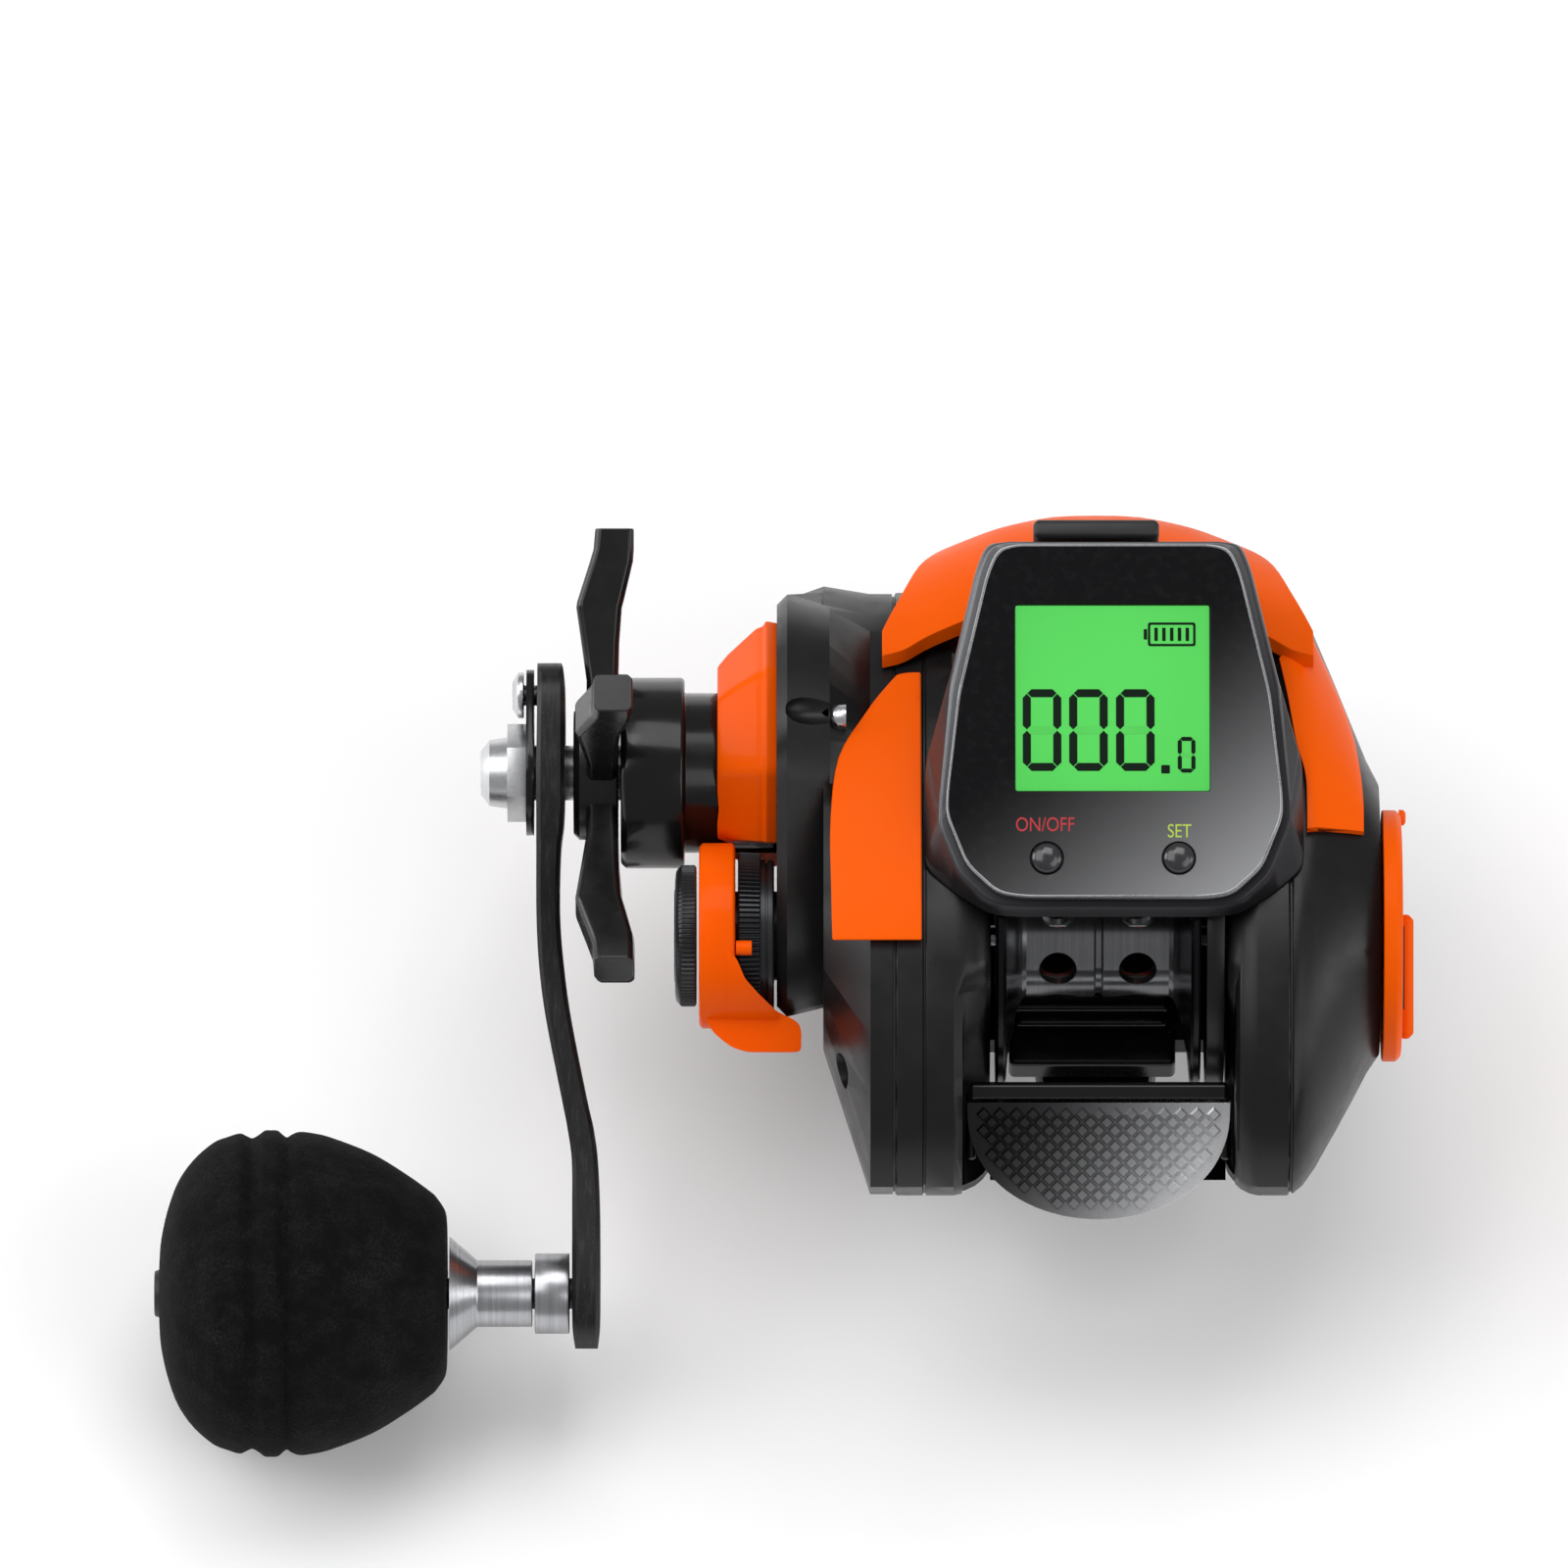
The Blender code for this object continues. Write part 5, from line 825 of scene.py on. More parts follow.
hood = {
    "middle": (-1.0, 25.0), "reach": 47.8, "height": 24.0, "halfWidth": 25.0, "thickness": 1.8, "drop": 0.65,
    "foremost": 44.88,
    # shares of the half width and of the reach, then the arc's two ends in degrees
    "rows": [
        (0.0, 0.995, 14.0, 51.0), (0.20, 0.990, 14.0, 51.5), (0.45, 0.960, 14.0, 52.5),
        (0.68, 0.910, 15.0, 54.0), (0.80, 0.880, 22.0, 55.0), (0.90, 0.855, 37.0, 56.5),
        (1.00, 0.840, 50.0, 57.0),
    ],
}


def arcPoints(reach, height, low, high, steps):
    middleY, middleZ = hood["middle"]
    angles = [math.radians(low + (high - low) * step / steps) for step in range(steps + 1)]
    return [(middleY + reach * math.cos(angle), middleZ + height * math.sin(angle)) for angle in angles]


rings = []
half = smoothRow(hood["rows"], 4)
for row in [(-row[0], *row[1:]) for row in reversed(half[1:])] + half:
    share, left, low, high = row
    reach, height = hood["reach"] * left, hood["height"] * (1 - (1 - left) * hood["drop"])
    outer = arcPoints(reach, height, low, high, 14)
    inner = arcPoints(reach - hood["thickness"], height - hood["thickness"], low, high, 14)
    rings.append([(hood["halfWidth"] * share, y, z) for y, z in outer + inner[::-1]])
nose = grown(rings)
roundEdges(nose, 0.35, 3, 50.0)
# its front edge stays inside the solid's
for vert in nose.verts:
    vert.co.y = min(vert.co.y, hood["foremost"])
crafted("hood_shell", nose, orangePlastic, "body", ("front_hood",))

leftPanel = {
    "right": -20.5, "width": 10.5, "angles": (60.0, 113.0), "low": 0.35, "high": 1.6,
    "across": 6, "crown": 0.35,
    "rows": [(0.0, 0.27), (0.10, 0.48), (0.17, 0.61), (0.35, 0.91), (0.58, 1.0), (0.80, 0.995), (1.0, 0.98)],
}
rings = []
across = leftPanel["across"]
for share, width in smoothRow(leftPanel["rows"], 4):
    low, high = leftPanel["angles"]
    angle = math.radians(low + (high - low) * share)
    drops = [leftPanel["crown"] * (step / across) ** 3 for step in range(across + 1)]
    upper = [(step, leftPanel["high"] - drop) for step, drop in enumerate(drops)]
    lower = [(step, leftPanel["low"]) for step in range(across, -1, -1)]
    rings.append([
        (
            leftPanel["right"] - leftPanel["width"] * width * step / across,
            skin["middle"][0] + (skin["reach"] + level) * math.cos(angle),
            skin["middle"][1] + (skin["height"] + level) * math.sin(angle),
        )
        for step, level in upper + lower
    ])
panel = grown(rings)
roundEdges(panel, 0.22, 2, 50.0)
crafted("left_panel", panel, orangePlastic, "body", ("left_trim",))
print("shell trims built")

thumb = {
    "radius": 15.2, "depth": 12.9, "lip": 0.8, "thickness": 2.2, "tilt": 36.0, "place": (0.0, -29.0, 27.2),
    "studApart": 1.9, "studHalf": 0.90, "studTop": 0.60, "studHeight": 0.45, "studSunk": 0.04,
    "studMargin": 1.25, "studFrom": -1.3, "studRows": 26, "studColumns": 9,
    # sizes and middles of its link, its front bar and that bar's two ends
    "link": ((15.2, 2.6, 1.8), (0.0, -33.0, 22.1)), "front": ((30.0, 1.9, 2.0), (0.0, 1.3, -0.75)),
    "end": ((1.3, 8.0, 1.6), (14.7, -3.2, -3.0)),
}
thumbPlace = Matrix.Translation(Vector(thumb["place"])) @ Matrix.Rotation(math.radians(thumb["tilt"]), 4, "X")
radius, depth, lip = thumb["radius"], thumb["depth"], thumb["lip"]
turns = [math.pi * step / 44 for step in range(45)]
outline = [(radius, 0.0)]
outline += [(radius * math.cos(turn), -lip - depth * math.sin(turn) ** 0.9) for turn in turns]
outline += [(-radius, 0.0)]
pad = rimmed(plated([outline], -thumb["thickness"], 0.0), 0.35, 3, 0.0)
apart, margin = thumb["studApart"], thumb["studMargin"]
lift = thumb["studHeight"] / 2 - thumb["studSunk"]
for row in range(thumb["studRows"]):
    for column in range(-thumb["studColumns"], thumb["studColumns"] + 1):
        x, y = apart * (column + (row % 2) / 2), thumb["studFrom"] - row * apart / 2
        if (x / (radius - margin)) ** 2 + ((y + lip) / (depth - margin)) ** 2 < 1.0:
            bmesh.ops.create_cone(
                pad, cap_ends=True, segments=4, radius1=thumb["studHalf"], radius2=thumb["studTop"],
                depth=thumb["studHeight"], matrix=Matrix.Translation((x, y, lift)),
            )
placed(pad, thumbPlace)
brick(*thumb["link"], pad)
crafted("thumb_pad", pad, thumbPlastic, "thumb", ("thumb_bar",), sharp=35.0)
edgeBar = brick(*thumb["front"])
endSize, (endX, endY, endZ) = thumb["end"]
for side in (-1, 1):
    brick(endSize, (side * endX, endY, endZ), edgeBar)
roundEdges(edgeBar, 0.55, 4, 40.0)
crafted("thumb_front_bar", placed(edgeBar, thumbPlace), blackLacquer, "thumb")

knob = {
    # along X and from the axis, from the reel out
    "skin": [
        (-75.5, 7.3), (-75.65, 9.4), (-76.6, 11.0), (-77.5, 11.9), (-80.6, 14.1), (-84.3, 16.3),
        (-88.9, 18.1), (-91.2, 18.65), (-92.7, 18.78), (-93.6, 18.45), (-94.1, 18.15), (-94.6, 18.45),
        (-95.2, 18.93), (-96.1, 18.98), (-96.7, 18.93), (-97.3, 18.5), (-98.1, 18.05), (-98.8, 18.3),
        (-99.6, 18.6), (-101.0, 18.2), (-102.7, 17.5), (-105.0, 15.5), (-106.8, 12.9), (-108.0, 9.6),
        (-108.7, 6.4), (-108.9, 4.2),
    ],
    "bore": 3.3,
}
foam = [tuple(point) for point in smoothRow(knob["skin"], 4)]
start, end = (foam[0][0], knob["bore"]), (foam[-1][0], knob["bore"])
grip = spun([start] + foam + [end, start], 128)
crafted("knob_foam", atAxis(grip, knobAxis), foamFinish, "knob", ("knob_grip",), sharp=60.0)


def chamfered(left, right, half, cut):
    # a bar's section: its two sides, its half width and the cut of its corners
    return [
        (left, half - cut), (left + cut, half), (right - cut, half), (right, half - cut),
        (right, cut - half), (right - cut, -half), (left + cut, -half), (left, cut - half),
    ]


star = {
    "hub": [(-55.6, 3.5), (-55.6, 7.6), (-55.9, 7.8), (-60.1, 7.8), (-60.8, 7.1), (-60.8, 3.5), (-55.6, 3.5)],
    # along the arm, its two sides in X, its half width
    "arm": [
        (5.0, -59.3, -55.7, 3.6), (10.7, -59.3, -55.6, 2.9), (15.0, -59.9, -55.5, 2.5),
        (19.2, -60.5, -55.2, 2.35), (19.9, -60.4, -55.0, 2.35), (24.6, -58.9, -53.9, 2.35),
        (26.0, -58.5, -53.8, 2.35), (28.4, -58.3, -53.8, 2.3),
    ],
    "arms": 5, "turn": 25.0, "chamfer": 0.55,
}
wheel = spun(star["hub"], 72)
for index in range(star["arms"]):
    limb = grown([
        [(x, along, side) for x, side in chamfered(left, right, half, star["chamfer"])]
        for along, left, right, half in star["arm"]
    ])
    roundEdges(limb, 0.22, 2, 20.0)
    turn = math.radians(star["turn"]) + math.tau * index / star["arms"]
    absorbed(wheel, placed(limb, Matrix.Rotation(turn, 4, "X")))
crafted("star_wheel", atAxis(wheel, driveAxis), starFinish, "star", ("star_drag",), sharp=40.0)

arm = {
    # along the crank, its two faces in X, its half width
    "rows": [
        (-12.7, -65.0, -62.2, 3.4), (-11.9, -65.0, -62.0, 5.4), (-8.9, -65.0, -61.8, 7.6),
        (0.0, -65.1, -61.8, 8.5), (5.5, -65.1, -61.9, 7.9), (9.5, -65.1, -62.3, 6.8),
        (16.5, -65.1, -62.4, 5.0), (22.4, -64.8, -61.95, 4.5), (28.6, -64.0, -61.1, 4.4),
        (37.7, -62.2, -59.3, 4.4), (41.3, -61.5, -58.5, 4.5), (45.0, -61.0, -58.0, 4.7),
        (50.5, -60.95, -57.75, 5.3), (56.0, -60.95, -57.7, 6.1), (60.5, -60.95, -57.7, 6.4),
        (64.5, -60.9, -57.75, 5.3), (66.9, -60.6, -58.0, 2.4),
    ],
    "chamfer": 0.5,
}
# the crank points this way at rest, and its width this way
crankTurn = math.radians(25.0)
down = Vector((0.0, -math.cos(crankTurn), -math.sin(crankTurn)))
aside = Vector((0.0, math.sin(crankTurn), -math.cos(crankTurn)))
hub = Vector((0.0, *(driveAxis / mm).yz))
rings = []
for along, left, right, half in smoothRow(arm["rows"], 5):
    section = chamfered(left, right, half, min(arm["chamfer"], half * 0.4))
    rings.append([Vector((x, 0.0, 0.0)) + hub + down * along + aside * side for x, side in section])
beam = grown(rings)
crafted("crank_arm", beam, armFinish, "crank", ("handle_arm",), sharp=30.0)
print("knob, star and arm built")

lever = {
    "band": [
        (-42.0, 5.5), (-42.0, 10.3), (-42.4, 10.75), (-45.8, 10.75), (-46.2, 10.3), (-46.2, 5.5),
        (-42.0, 5.5),
    ],
    # the foot's outline, along X and along the crank's direction
    "foot": [
        (-46.1, 6.0), (-41.9, 3.4), (-40.9, 5.2), (-39.3, 6.9), (-37.4, 8.7), (-34.9, 9.9), (-34.35, 10.8),
        (-34.35, 13.2), (-34.8, 13.5), (-40.6, 13.5), (-42.5, 12.9), (-44.6, 11.2), (-45.8, 9.0),
    ],
    "halfWidth": 4.7, "pin": (-41.9, -40.1, 1.5, 0.85), "pinDrop": -9.75,
    # a web over the ribbed barrel from the band to the foot, between two radii
    "web": [
        (-43.0, 1.6), (-41.8, 2.8), (-40.9, 5.0), (-39.3, 6.8), (-37.6, 8.4), (-36.9, 9.6), (-36.9, 11.2),
        (-43.0, 11.2),
    ],
    "webDepth": (-11.5, -1.0), "webSpan": (-44.0, -36.0), "webRadii": (9.95, 10.82), "webClear": 20.0,
}
strap = spun(lever["band"], 96)
foot = plated([softened(lever["foot"], 0.8, 3)], -lever["halfWidth"], lever["halfWidth"])
roundEdges(foot, 0.75, 4, 60.0)
crankward = Matrix((
    (1.0, 0.0, 0.0, 0.0), (0.0, down.y, aside.y, 0.0), (0.0, down.z, aside.z, 0.0), (0.0, 0.0, 0.0, 1.0),
))
placed(foot, crankward)
pinLeft, pinRight, pinAlong, pinRadius = lever["pin"]
stub = rod(pinLeft, pinRight, pinRadius, 20)
placed(stub, crankward @ Matrix.Translation((0.0, pinAlong, lever["pinDrop"])))
web = placed(plated([softened(lever["web"], 0.4, 3)], *lever["webDepth"]), crankward)
(left, right), (least, most) = lever["webSpan"], lever["webRadii"]
clear = lever["webClear"]
beyond = spun([(left, most), (left, clear), (right, clear), (right, most), (left, most)], 96)
web = carved(web, rod(left, right, least, 96), beyond)
roundEdges(web, 0.2, 2, 60.0)
absorbed(strap, foot, stub, web)
crafted("cast_lever", atAxis(strap, spoolAxis), orangeLacquer, "lever", ("fall_lever",), sharp=60.0)


def fluted(shape):
    # rings of a turned body whose skin is cut with ribs where depth is asked for
    count = shape["ribs"] * 4
    rings = []
    for x, radius, cut in shape["rings"]:
        ring = []
        for step in range(count):
            angle = math.tau * step / count
            reach = radius - (shape["deep"] * cut if step % 4 in (2, 3) else 0.0)
            ring.append((x, reach * math.cos(angle), reach * math.sin(angle)))
        rings.append(ring)
    return rings


barrel = {
    # along X, radius, how much of the ribs' depth is cut
    "rings": [
        (-37.5, 5.6, 0), (-37.5, 8.5, 0), (-37.7, 8.8, 0), (-38.2, 8.8, 0), (-38.25, 8.45, 0),
        (-38.5, 8.45, 0), (-38.55, 8.8, 0), (-39.05, 8.8, 0), (-39.1, 9.2, 0), (-39.2, 9.55, 1),
        (-41.5, 9.7, 1), (-41.7, 9.35, 1), (-41.7, 5.6, 0), (-37.5, 5.6, 0),
    ],
    "ribs": 96, "deep": 0.42,
}
castKnob = {
    "rings": [
        (-46.5, 7.9, 0), (-46.7, 8.2, 1), (-48.2, 8.2, 1), (-48.5, 7.95, 0), (-48.85, 7.5, 0),
        (-49.0, 6.6, 0), (-48.8, 6.3, 0), (-48.8, 5.7, 0), (-49.08, 5.3, 0), (-49.1, 2.0, 0),
    ],
    "ribs": 90, "deep": 0.16,
}
ribbed = atAxis(grown(fluted(barrel), False, False), spoolAxis)
crafted("cast_barrel_ribbed", ribbed, barrelAlloy, "body", ("cast_barrel",), sharp=30.0)
cap = atAxis(grown(fluted(castKnob)), spoolAxis)
crafted("cast_knob_cap", cap, barrelAlloy, "cast_knob", ("cast_cap",), sharp=30.0)

boss = {
    "top": 17.9, "turn": 25.0, "shares": (1.0, 0.93, 0.85, 0.74, 0.62, 0.74, 0.85, 0.93), "least": 10.1,
    # along X, how far its corners reach, where the ring stands
    "rings": [(-37.1, 0.985), (-38.5, 1.0), (-38.8, 0.965), (-39.6, 0.95), (-42.9, 0.78), (-44.1, 0.70)],
    "bore": 9.6, "notch": 11.1, "cut": (-46.0, -36.0),
}
rings = []
for x, reach in boss["rings"]:
    corners = []
    for index, share in enumerate(boss["shares"]):
        angle = math.radians(boss["turn"]) + math.tau * index / len(boss["shares"])
        radius = max(boss["top"] * share * reach, boss["least"])
        corners.append((radius * math.cos(angle), radius * math.sin(angle)))
    rings.append([(x, y, z) for y, z in softened(corners, 0.9, 3)])
ring = atAxis(grown(rings), driveAxis)
roundEdges(ring, 0.3, 3, 24.0, lambda edge: abs(edge.verts[0].co.x - edge.verts[1].co.x) < 0.001)
bore = atAxis(rod(*boss["cut"], boss["bore"], 72), driveAxis)
notch = atAxis(rod(*boss["cut"], boss["notch"], 72), spoolAxis)
crafted("boss_ring", carved(ring, bore, notch), orangeLacquer, "body", ("gear_side_boss",), sharp=35.0)
print("cast control and boss built")


def onSkin(place):
    across = (place.y - skin["middle"][0]) / skin["reach"]
    upward = (place.z - skin["middle"][1]) / skin["height"]
    power = 3 if across > 0 and upward < 0 else 2
    return abs(across) ** power + abs(upward) ** power > 0.975 or place.z > skin["deck"] - 0.05


walls = [
    # along X, how far the skin is drawn in: seam edge, groove, rounded shoulder to the opening
    (-23.5, 0.22), (-23.3, 0.0), (-20.4, 0.0), (-20.25, 0.3), (-20.05, 0.3), (-19.9, 0.0), (-16.8, 0.0),
    (-15.4, 0.3), (-14.2, 0.85), (-13.3, 1.6), (-12.8, 2.3), (-12.5, 3.1), (14.8, 3.1), (15.1, 2.3),
    (15.6, 1.6), (16.4, 0.8), (17.4, 0.25), (18.4, 0.0), (21.8, 0.0), (22.0, 0.22),
]
body = inMillimetres("frame")
for x, _ in walls:
    everything = body.verts[:] + body.edges[:] + body.faces[:]
    bmesh.ops.bisect_plane(body, geom=everything, dist=0.0002, plane_co=(x, 0, 0), plane_no=(1, 0, 0))
middle, slack = Vector((0.0, *skin["middle"])), 0.001
for vert in body.verts:
    x, y, z = vert.co
    if abs(x) > skin["opening"] and walls[0][0] - slack <= x <= walls[-1][0] + slack and onSkin(vert.co):
        vert.co -= (Vector((0.0, y, z)) - middle).normalized() * between(walls, x)
crafted("body_frame", body, blackPlastic, "body", ("frame",), sharp=24.0)

alongX = Matrix(((0, 0, 1, 0), (1, 0, 0, 0), (0, 1, 0, 0), (0, 0, 0, 1)))
gaskets = {"insets": (0.45, 3.0), "left": (-23.76, -23.54), "right": (22.04, 22.26)}
for side in ("left", "right"):
    loops = []
    for inset in gaskets["insets"]:
        reach, height = skin["reach"] - inset, skin["height"] - inset
        loop = []
        for step in range(96):
            y = skin["middle"][0] + reach * math.cos(math.tau * step / 96)
            z = skin["middle"][1] + height * math.sin(math.tau * step / 96)
            loop.append((y, min(z, skin["deck"] - inset)))
        loops.append(loop)
    gasket = placed(plated(loops, *gaskets[side]), alongX)
    crafted("seam_gasket_" + side, gasket, rubberBlack, "body")

coverFill = {
    # the low side of its two steps is drawn up to the high side, by degrees round this middle
    "middle": (3.4, 26.5), "step": -31.1, "flange": -31.8, "fade": (60.0, 78.0), "span": (-30.0, 19.0),
    "from": 20.0, "within": 0.1, "least": 15.0, "gap": 0.04, "skip": 0.3,
    "tall": [(20.0, 29.2), (29.0, 28.2), (41.0, 26.6), (54.0, 24.2), (68.0, 21.7), (90.0, 17.6)],
    "wide": [
        (-30.0, 33.0), (-21.0, 34.3), (-15.0, 34.4), (-9.0, 34.1), (-3.0, 33.8), (4.0, 33.3), (10.0, 32.3),
        (19.0, 30.0),
    ],
    # the screw's channel along X, its screw, and where both lie
    "channel": [
        (-36.3, 0.0), (-36.1, 0.7), (-35.4, 1.35), (-34.4, 1.75), (-33.2, 1.9), (-29.0, 1.9), (-29.0, 0.0),
    ],
    "channelPlace": (0.0, 11.6, 47.9), "screwPlace": (0.0, 11.6, 45.7),
    "screw": [(-30.9, 0.0), (-30.9, 0.75), (-30.6, 1.25), (-30.1, 1.45), (-29.2, 1.45), (-29.2, 0.0)],
}


cover = inMillimetres("gear_side_cover")
channel = moved(spun(coverFill["channel"], 32), coverFill["channelPlace"])
(fadeFrom, fadeTo), (spanFrom, spanTo) = coverFill["fade"], coverFill["span"]
for vert in cover.verts:
    out = vert.co.yz - Vector(coverFill["middle"])
    turn = math.degrees(math.atan2(out.y, out.x))
    share, goal = 0.0, 0.0
    if abs(vert.co.x - coverFill["step"]) < coverFill["within"] and coverFill["from"] < turn < fadeTo:
        goal = between(coverFill["tall"], turn) - coverFill["gap"]
        share = min((fadeTo - turn) / (fadeTo - fadeFrom), 1.0)
    elif abs(vert.co.x - coverFill["flange"]) < coverFill["within"] and spanFrom < turn < spanTo:
        goal, share = between(coverFill["wide"], turn) - coverFill["gap"], 1.0
    if coverFill["least"] < out.length < goal - coverFill["skip"]:
        vert.co.yz += out.normalized() * (goal - out.length) * share
cover = carved(cover, channel)
roundEdges(cover, 0.2, 2, 32.0)
crafted("gear_cover_shell", cover, blackPlastic, "body", ("gear_side_cover",), sharp=30.0)
tip = moved(spun(coverFill["screw"], 28), coverFill["screwPlace"])
crafted("cover_screw_top", tip, screwSteel, "body")

guardSteps = [
    # sizes and middles of the steps below the spool
    ((18.2, 2.6, 6.0), (-0.6, -8.6, 9.2)), ((17.6, 2.2, 5.2), (-0.6, -10.4, 8.8)),
    ((19.4, 4.6, 4.0), (-0.5, -13.6, 8.0)),
]
guard = bmesh.new()
for size, middle in guardSteps:
    brick(size, middle, guard)
roundEdges(guard, 0.7, 4, 40.0)
crafted("spool_guard", guard, blackLacquer, "body")

spoolShape = {
    "profile": [
        (11.8, 5.9), (11.8, 16.95), (11.5, 17.3), (10.95, 17.3), (10.6, 16.95), (10.35, 14.0), (9.3, 8.6),
        (8.7, 7.3), (8.2, 7.0), (0.6, 7.0), (0.35, 6.6), (-0.25, 6.6), (-0.5, 7.0), (-8.3, 7.0), (-8.8, 7.3),
        (-9.4, 8.6), (-10.45, 14.0), (-10.7, 16.95), (-11.05, 17.3), (-11.6, 17.3), (-11.9, 16.95),
        (-11.9, 5.9), (-1.2, 5.9), (-1.2, 1.5), (1.1, 1.5), (1.1, 5.9), (11.8, 5.9),
    ],
    "holes": (-4.67, 4.57), "holeRadius": 2.2,
}
drum = spun(spoolShape["profile"], 120)
cutters = []
for x in spoolShape["holes"]:
    for index in range(3):
        turn = Matrix.Rotation(math.tau * index / 6, 4, "X")
        drill = rod(-9.0, 9.0, spoolShape["holeRadius"], 28)
        cutters.append(placed(drill, Matrix.Translation((x, 0, 0)) @ turn @ upright))
drum = carved(drum, *cutters)
crafted("spool_drum", atAxis(drum, spoolAxis), spoolAlloy, "spool_set", ("spool",), sharp=30.0)

knurl = {
    # the dial's nub, and a black strip that paints the shade of its coin slot: size, shift and turn
    "nub": [(34.9, 0.0), (34.9, 0.95), (35.45, 0.9), (35.7, 0.6), (35.7, 0.0)], "nubPlace": (0.0, 5.4, 31.8),
    "slot": (0.42, 9.6, 4.12), "slotMiddle": (35.3, 0.0, 0.0), "slotShift": (0.0, -3.7, 0.0),
    "slotTurn": 25.0,
}
dial = inMillimetres("brake_dial")
roundEdges(dial, 0.25, 2, 35.0)
absorbed(dial, moved(spun(knurl["nub"], 24), knurl["nubPlace"]))
crafted("dial_disc", dial, orangePlastic, "dial", ("brake_dial",), sharp=40.0)
# painted shade: a black strip laid on the dial stands in for the dark of a coin slot, which is not cut
paintedSlotShade = brick(knurl["slot"], knurl["slotMiddle"])
turn = Matrix.Rotation(math.radians(knurl["slotTurn"]), 4, "X")
placed(paintedSlotShade, turn @ Matrix.Translation(knurl["slotShift"]))
crafted("dial_slot_painted_shade", atAxis(paintedSlotShade, spoolAxis), rubberBlack, "dial")
print("body, spool and dial built")

# the parts that have no finer piece, and how far their edges are rounded
dressings = [
    ("palm_side_cover", blackPlastic, 0.00025), ("clutch_housing", blackLacquer, 0.0002),
    ("port_cover", rubberBlack, 0.00025), ("palm_ring", blackPlastic, 0.00015),
    ("handle_nut", nutSteel, 0.00015), ("nut_retainer", blackLacquer, 0.00008),
    ("retainer_screw", screwSteel, 0.00012), ("knob_spindle", collarSteel, 0.00012),
    ("knob_collar", collarSteel, 0.00012), ("knob_cap", rubberBlack, 0.00018),
    ("cover_screw", screwSteel, 0.0001), ("spool_shaft", shaftSteel, 0.00006),
    ("guide_rail", shaftSteel, 0.00008), ("worm_shaft", shaftSteel, 0.00006),
    ("line_guide", blackPlastic, 0.00018), ("guide_eye", eyeCeramic, 0.00012),
    ("reel_foot", blackLacquer, 0.00025), ("drive_shaft", shaftSteel, 0.00006),
    ("drive_gear", gearBrass, 0.0), ("pinion_gear", gearBrass, 0.0), ("worm_gear", gearPlastic, 0.0),
    ("guide_drive_gear", gearPlastic, 0.0), ("drag_washers", washerFibre, 0.00006),
    ("anti_reverse_bearing", screwSteel, 0.0001), ("shaft_bearing", screwSteel, 0.0001),
    ("spool_bearing_left", screwSteel, 0.0001), ("spool_bearing_right", screwSteel, 0.0001),
    ("knob_bearing_inner", screwSteel, 0.00008), ("knob_bearing_outer", screwSteel, 0.00008),
    ("sensor_magnet", magnetPlate, 0.00008), ("brake_magnets", magnetPlate, 0.0001),
    ("circuit_board", boardFinish, 0.00008), ("battery", cellFoil, 0.00025),
    ("rotation_sensor", rubberBlack, 0.00008), ("guide_pawl", gearBrass, 0.00008),
    ("foot_screw_rear", screwSteel, 0.0001), ("foot_screw_front", screwSteel, 0.0001),
]
for node, finish, edge in dressings:
    dressed(node, finish, edge)
print("parts dressed")

view = {"at": Vector((-0.03636, 0.00895, 0.03345)), "up": math.radians(64.0), "away": 3.0, "width": 0.1818}
sensor = 36.0
camera = bpy.data.cameras.new("camera")
camera.sensor_width = sensor
camera.lens = sensor * view["away"] / view["width"]
camera.clip_start = 0.5
camera.clip_end = 20.0
eye = bpy.data.objects.new("camera", camera)
eye.location = view["at"] + Vector((0.0, -math.cos(view["up"]), math.sin(view["up"]))) * view["away"]
eye.rotation_euler = (math.pi / 2 - view["up"], 0.0, 0.0)
bpy.context.scene.collection.objects.link(eye)
bpy.context.scene.camera = eye

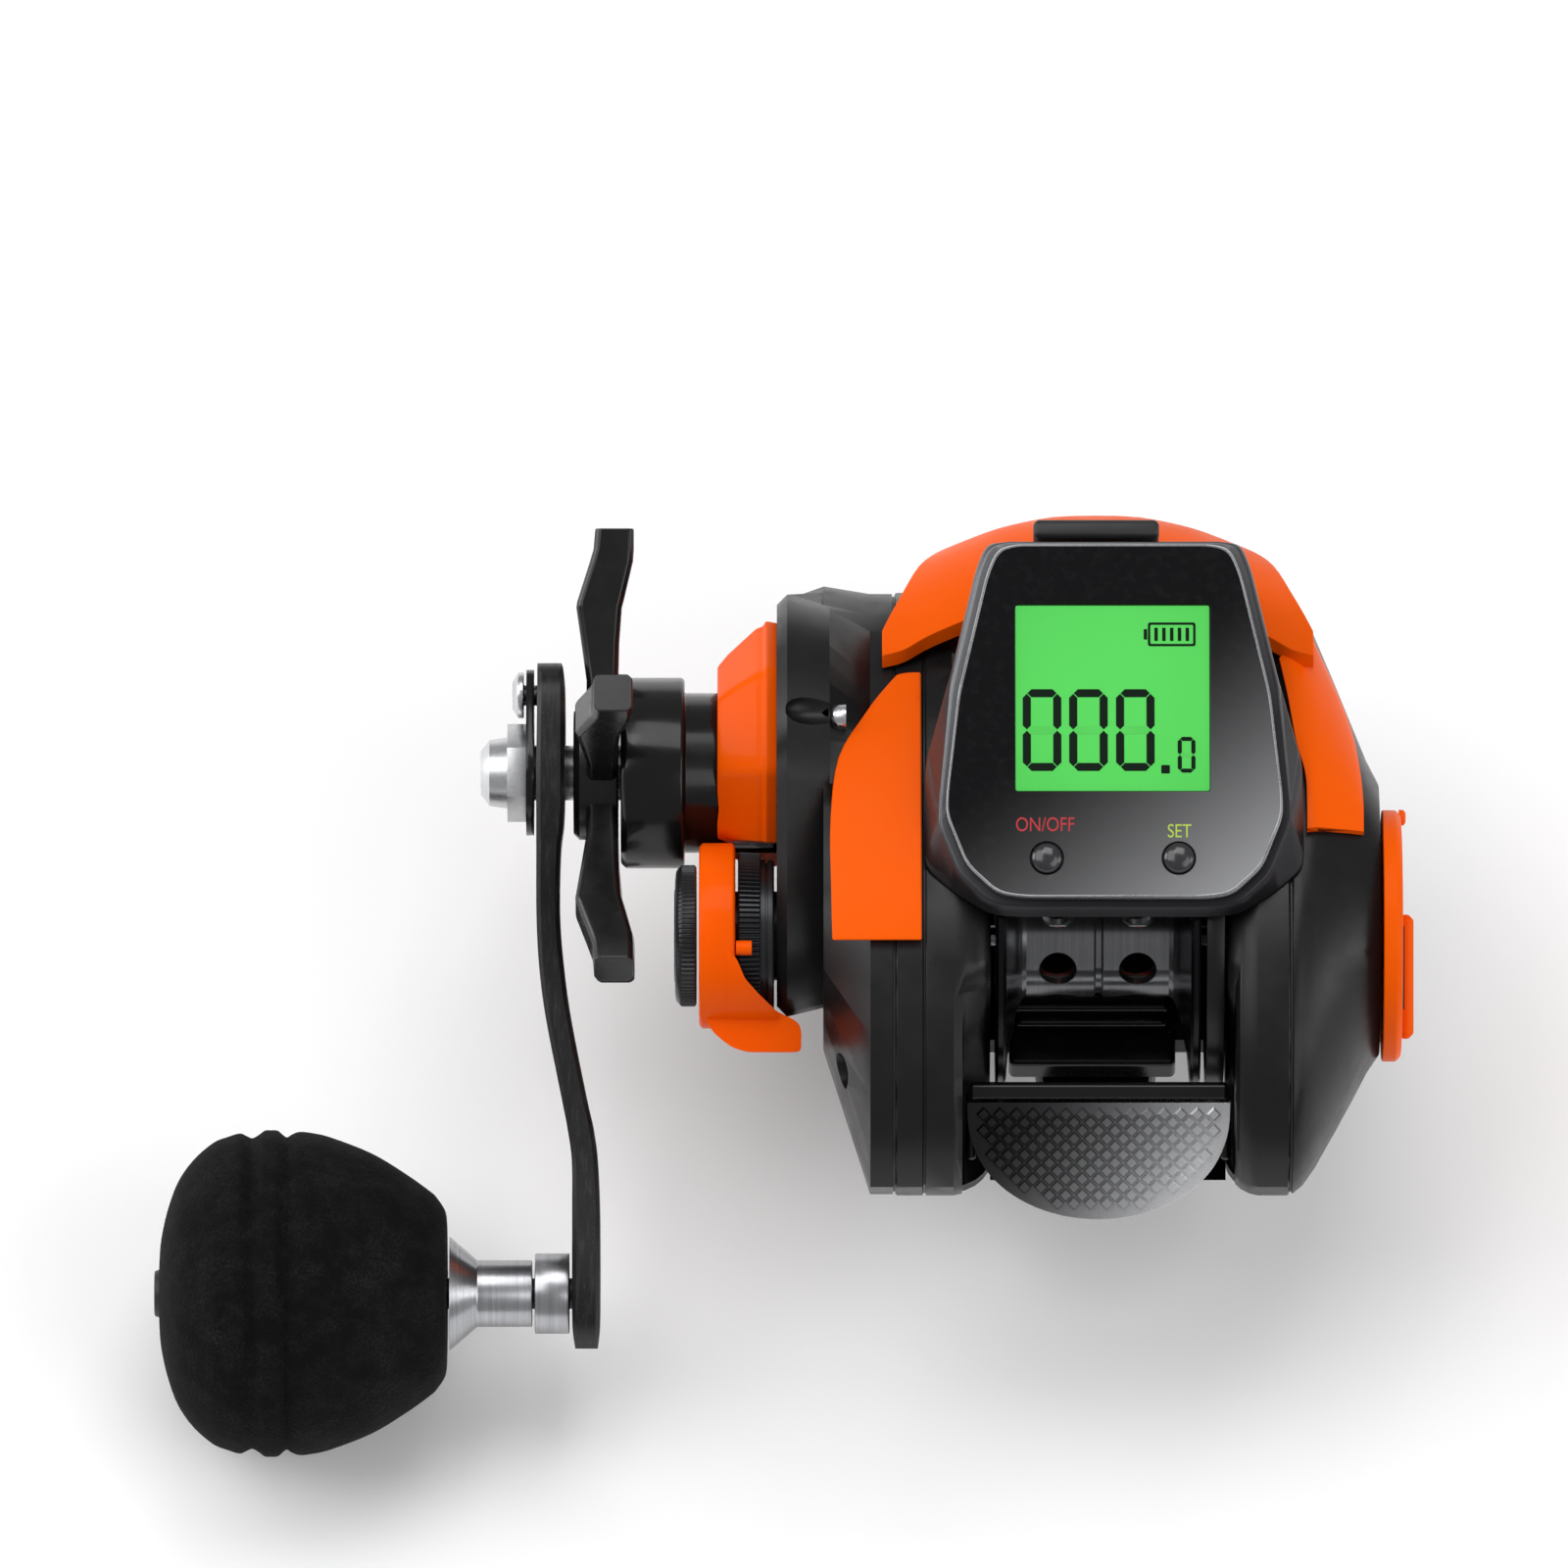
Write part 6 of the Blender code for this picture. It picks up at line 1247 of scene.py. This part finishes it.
studio = {
    "floorHalf": 3.0, "floorGap": 0.0002, "aim": Vector((-0.02, 0.0, 0.02)), "sky": (0.36, 0.36, 0.366, 1.0),
}
floorBm = bmesh.new()
bmesh.ops.create_grid(floorBm, x_segments=12, y_segments=12, size=studio["floorHalf"])
moved(floorBm, Vector((0.0, 0.0, cadBox[0][2] - studio["floorGap"])))
floorFinish = Finish("paper floor", Roughness=0.9)
paper = floorFinish.mixed(floorFinish.noise(14.0, 3.0), (0.985, 0.985, 0.985), (1.0, 1.0, 1.0))
floorFinish.set("Base Color", paper)
floorMesh = bpy.data.meshes.new("floor")
floorBm.to_mesh(floorMesh)
floorBm.free()
floorMesh.materials.append(floorFinish.material)
floor = bpy.data.objects.new("floor", floorMesh)
bpy.context.scene.collection.objects.link(floor)

lamps = [
    # name, place, size, power
    ("key", (-0.85, 0.15, 1.35), 1.2, 10.8),
    ("fill", (0.95, -0.65, 1.05), 1.1, 6.5),
    ("top", (0.10, 0.60, 1.50), 0.9, 7.5),
    ("left edge", (-1.25, 0.30, 0.32), 0.6, 5.0),
    ("right edge", (1.25, -0.10, 0.36), 0.5, 2.2),
]
for name, place, size, power in lamps:
    light = bpy.data.lights.new(name, "AREA")
    light.shape = "SQUARE"
    light.size = size
    light.energy = power
    lamp = bpy.data.objects.new(name, light)
    lamp.location = place
    lamp.rotation_euler = (Vector(place) - studio["aim"]).to_track_quat("Z", "Y").to_euler()
    bpy.context.scene.collection.objects.link(lamp)

world = bpy.data.worlds.new("studio")
world.use_nodes = True
sky = world.node_tree
# white to the camera, soft grey to everything else
toCamera = asked(sky, "ShaderNodeLightPath", {}, {}, "Is Camera Ray")
tones = {0: toCamera, 6: studio["sky"], 7: (1.0, 1.0, 1.0, 1.0)}
background = sky.nodes["Background"]
feed(sky, background.inputs["Color"], asked(sky, "ShaderNodeMix", {"data_type": "RGBA"}, tones, 2))
background.inputs["Strength"].default_value = 1.0
bpy.context.scene.world = world
bpy.context.scene.view_settings.view_transform = "Standard"
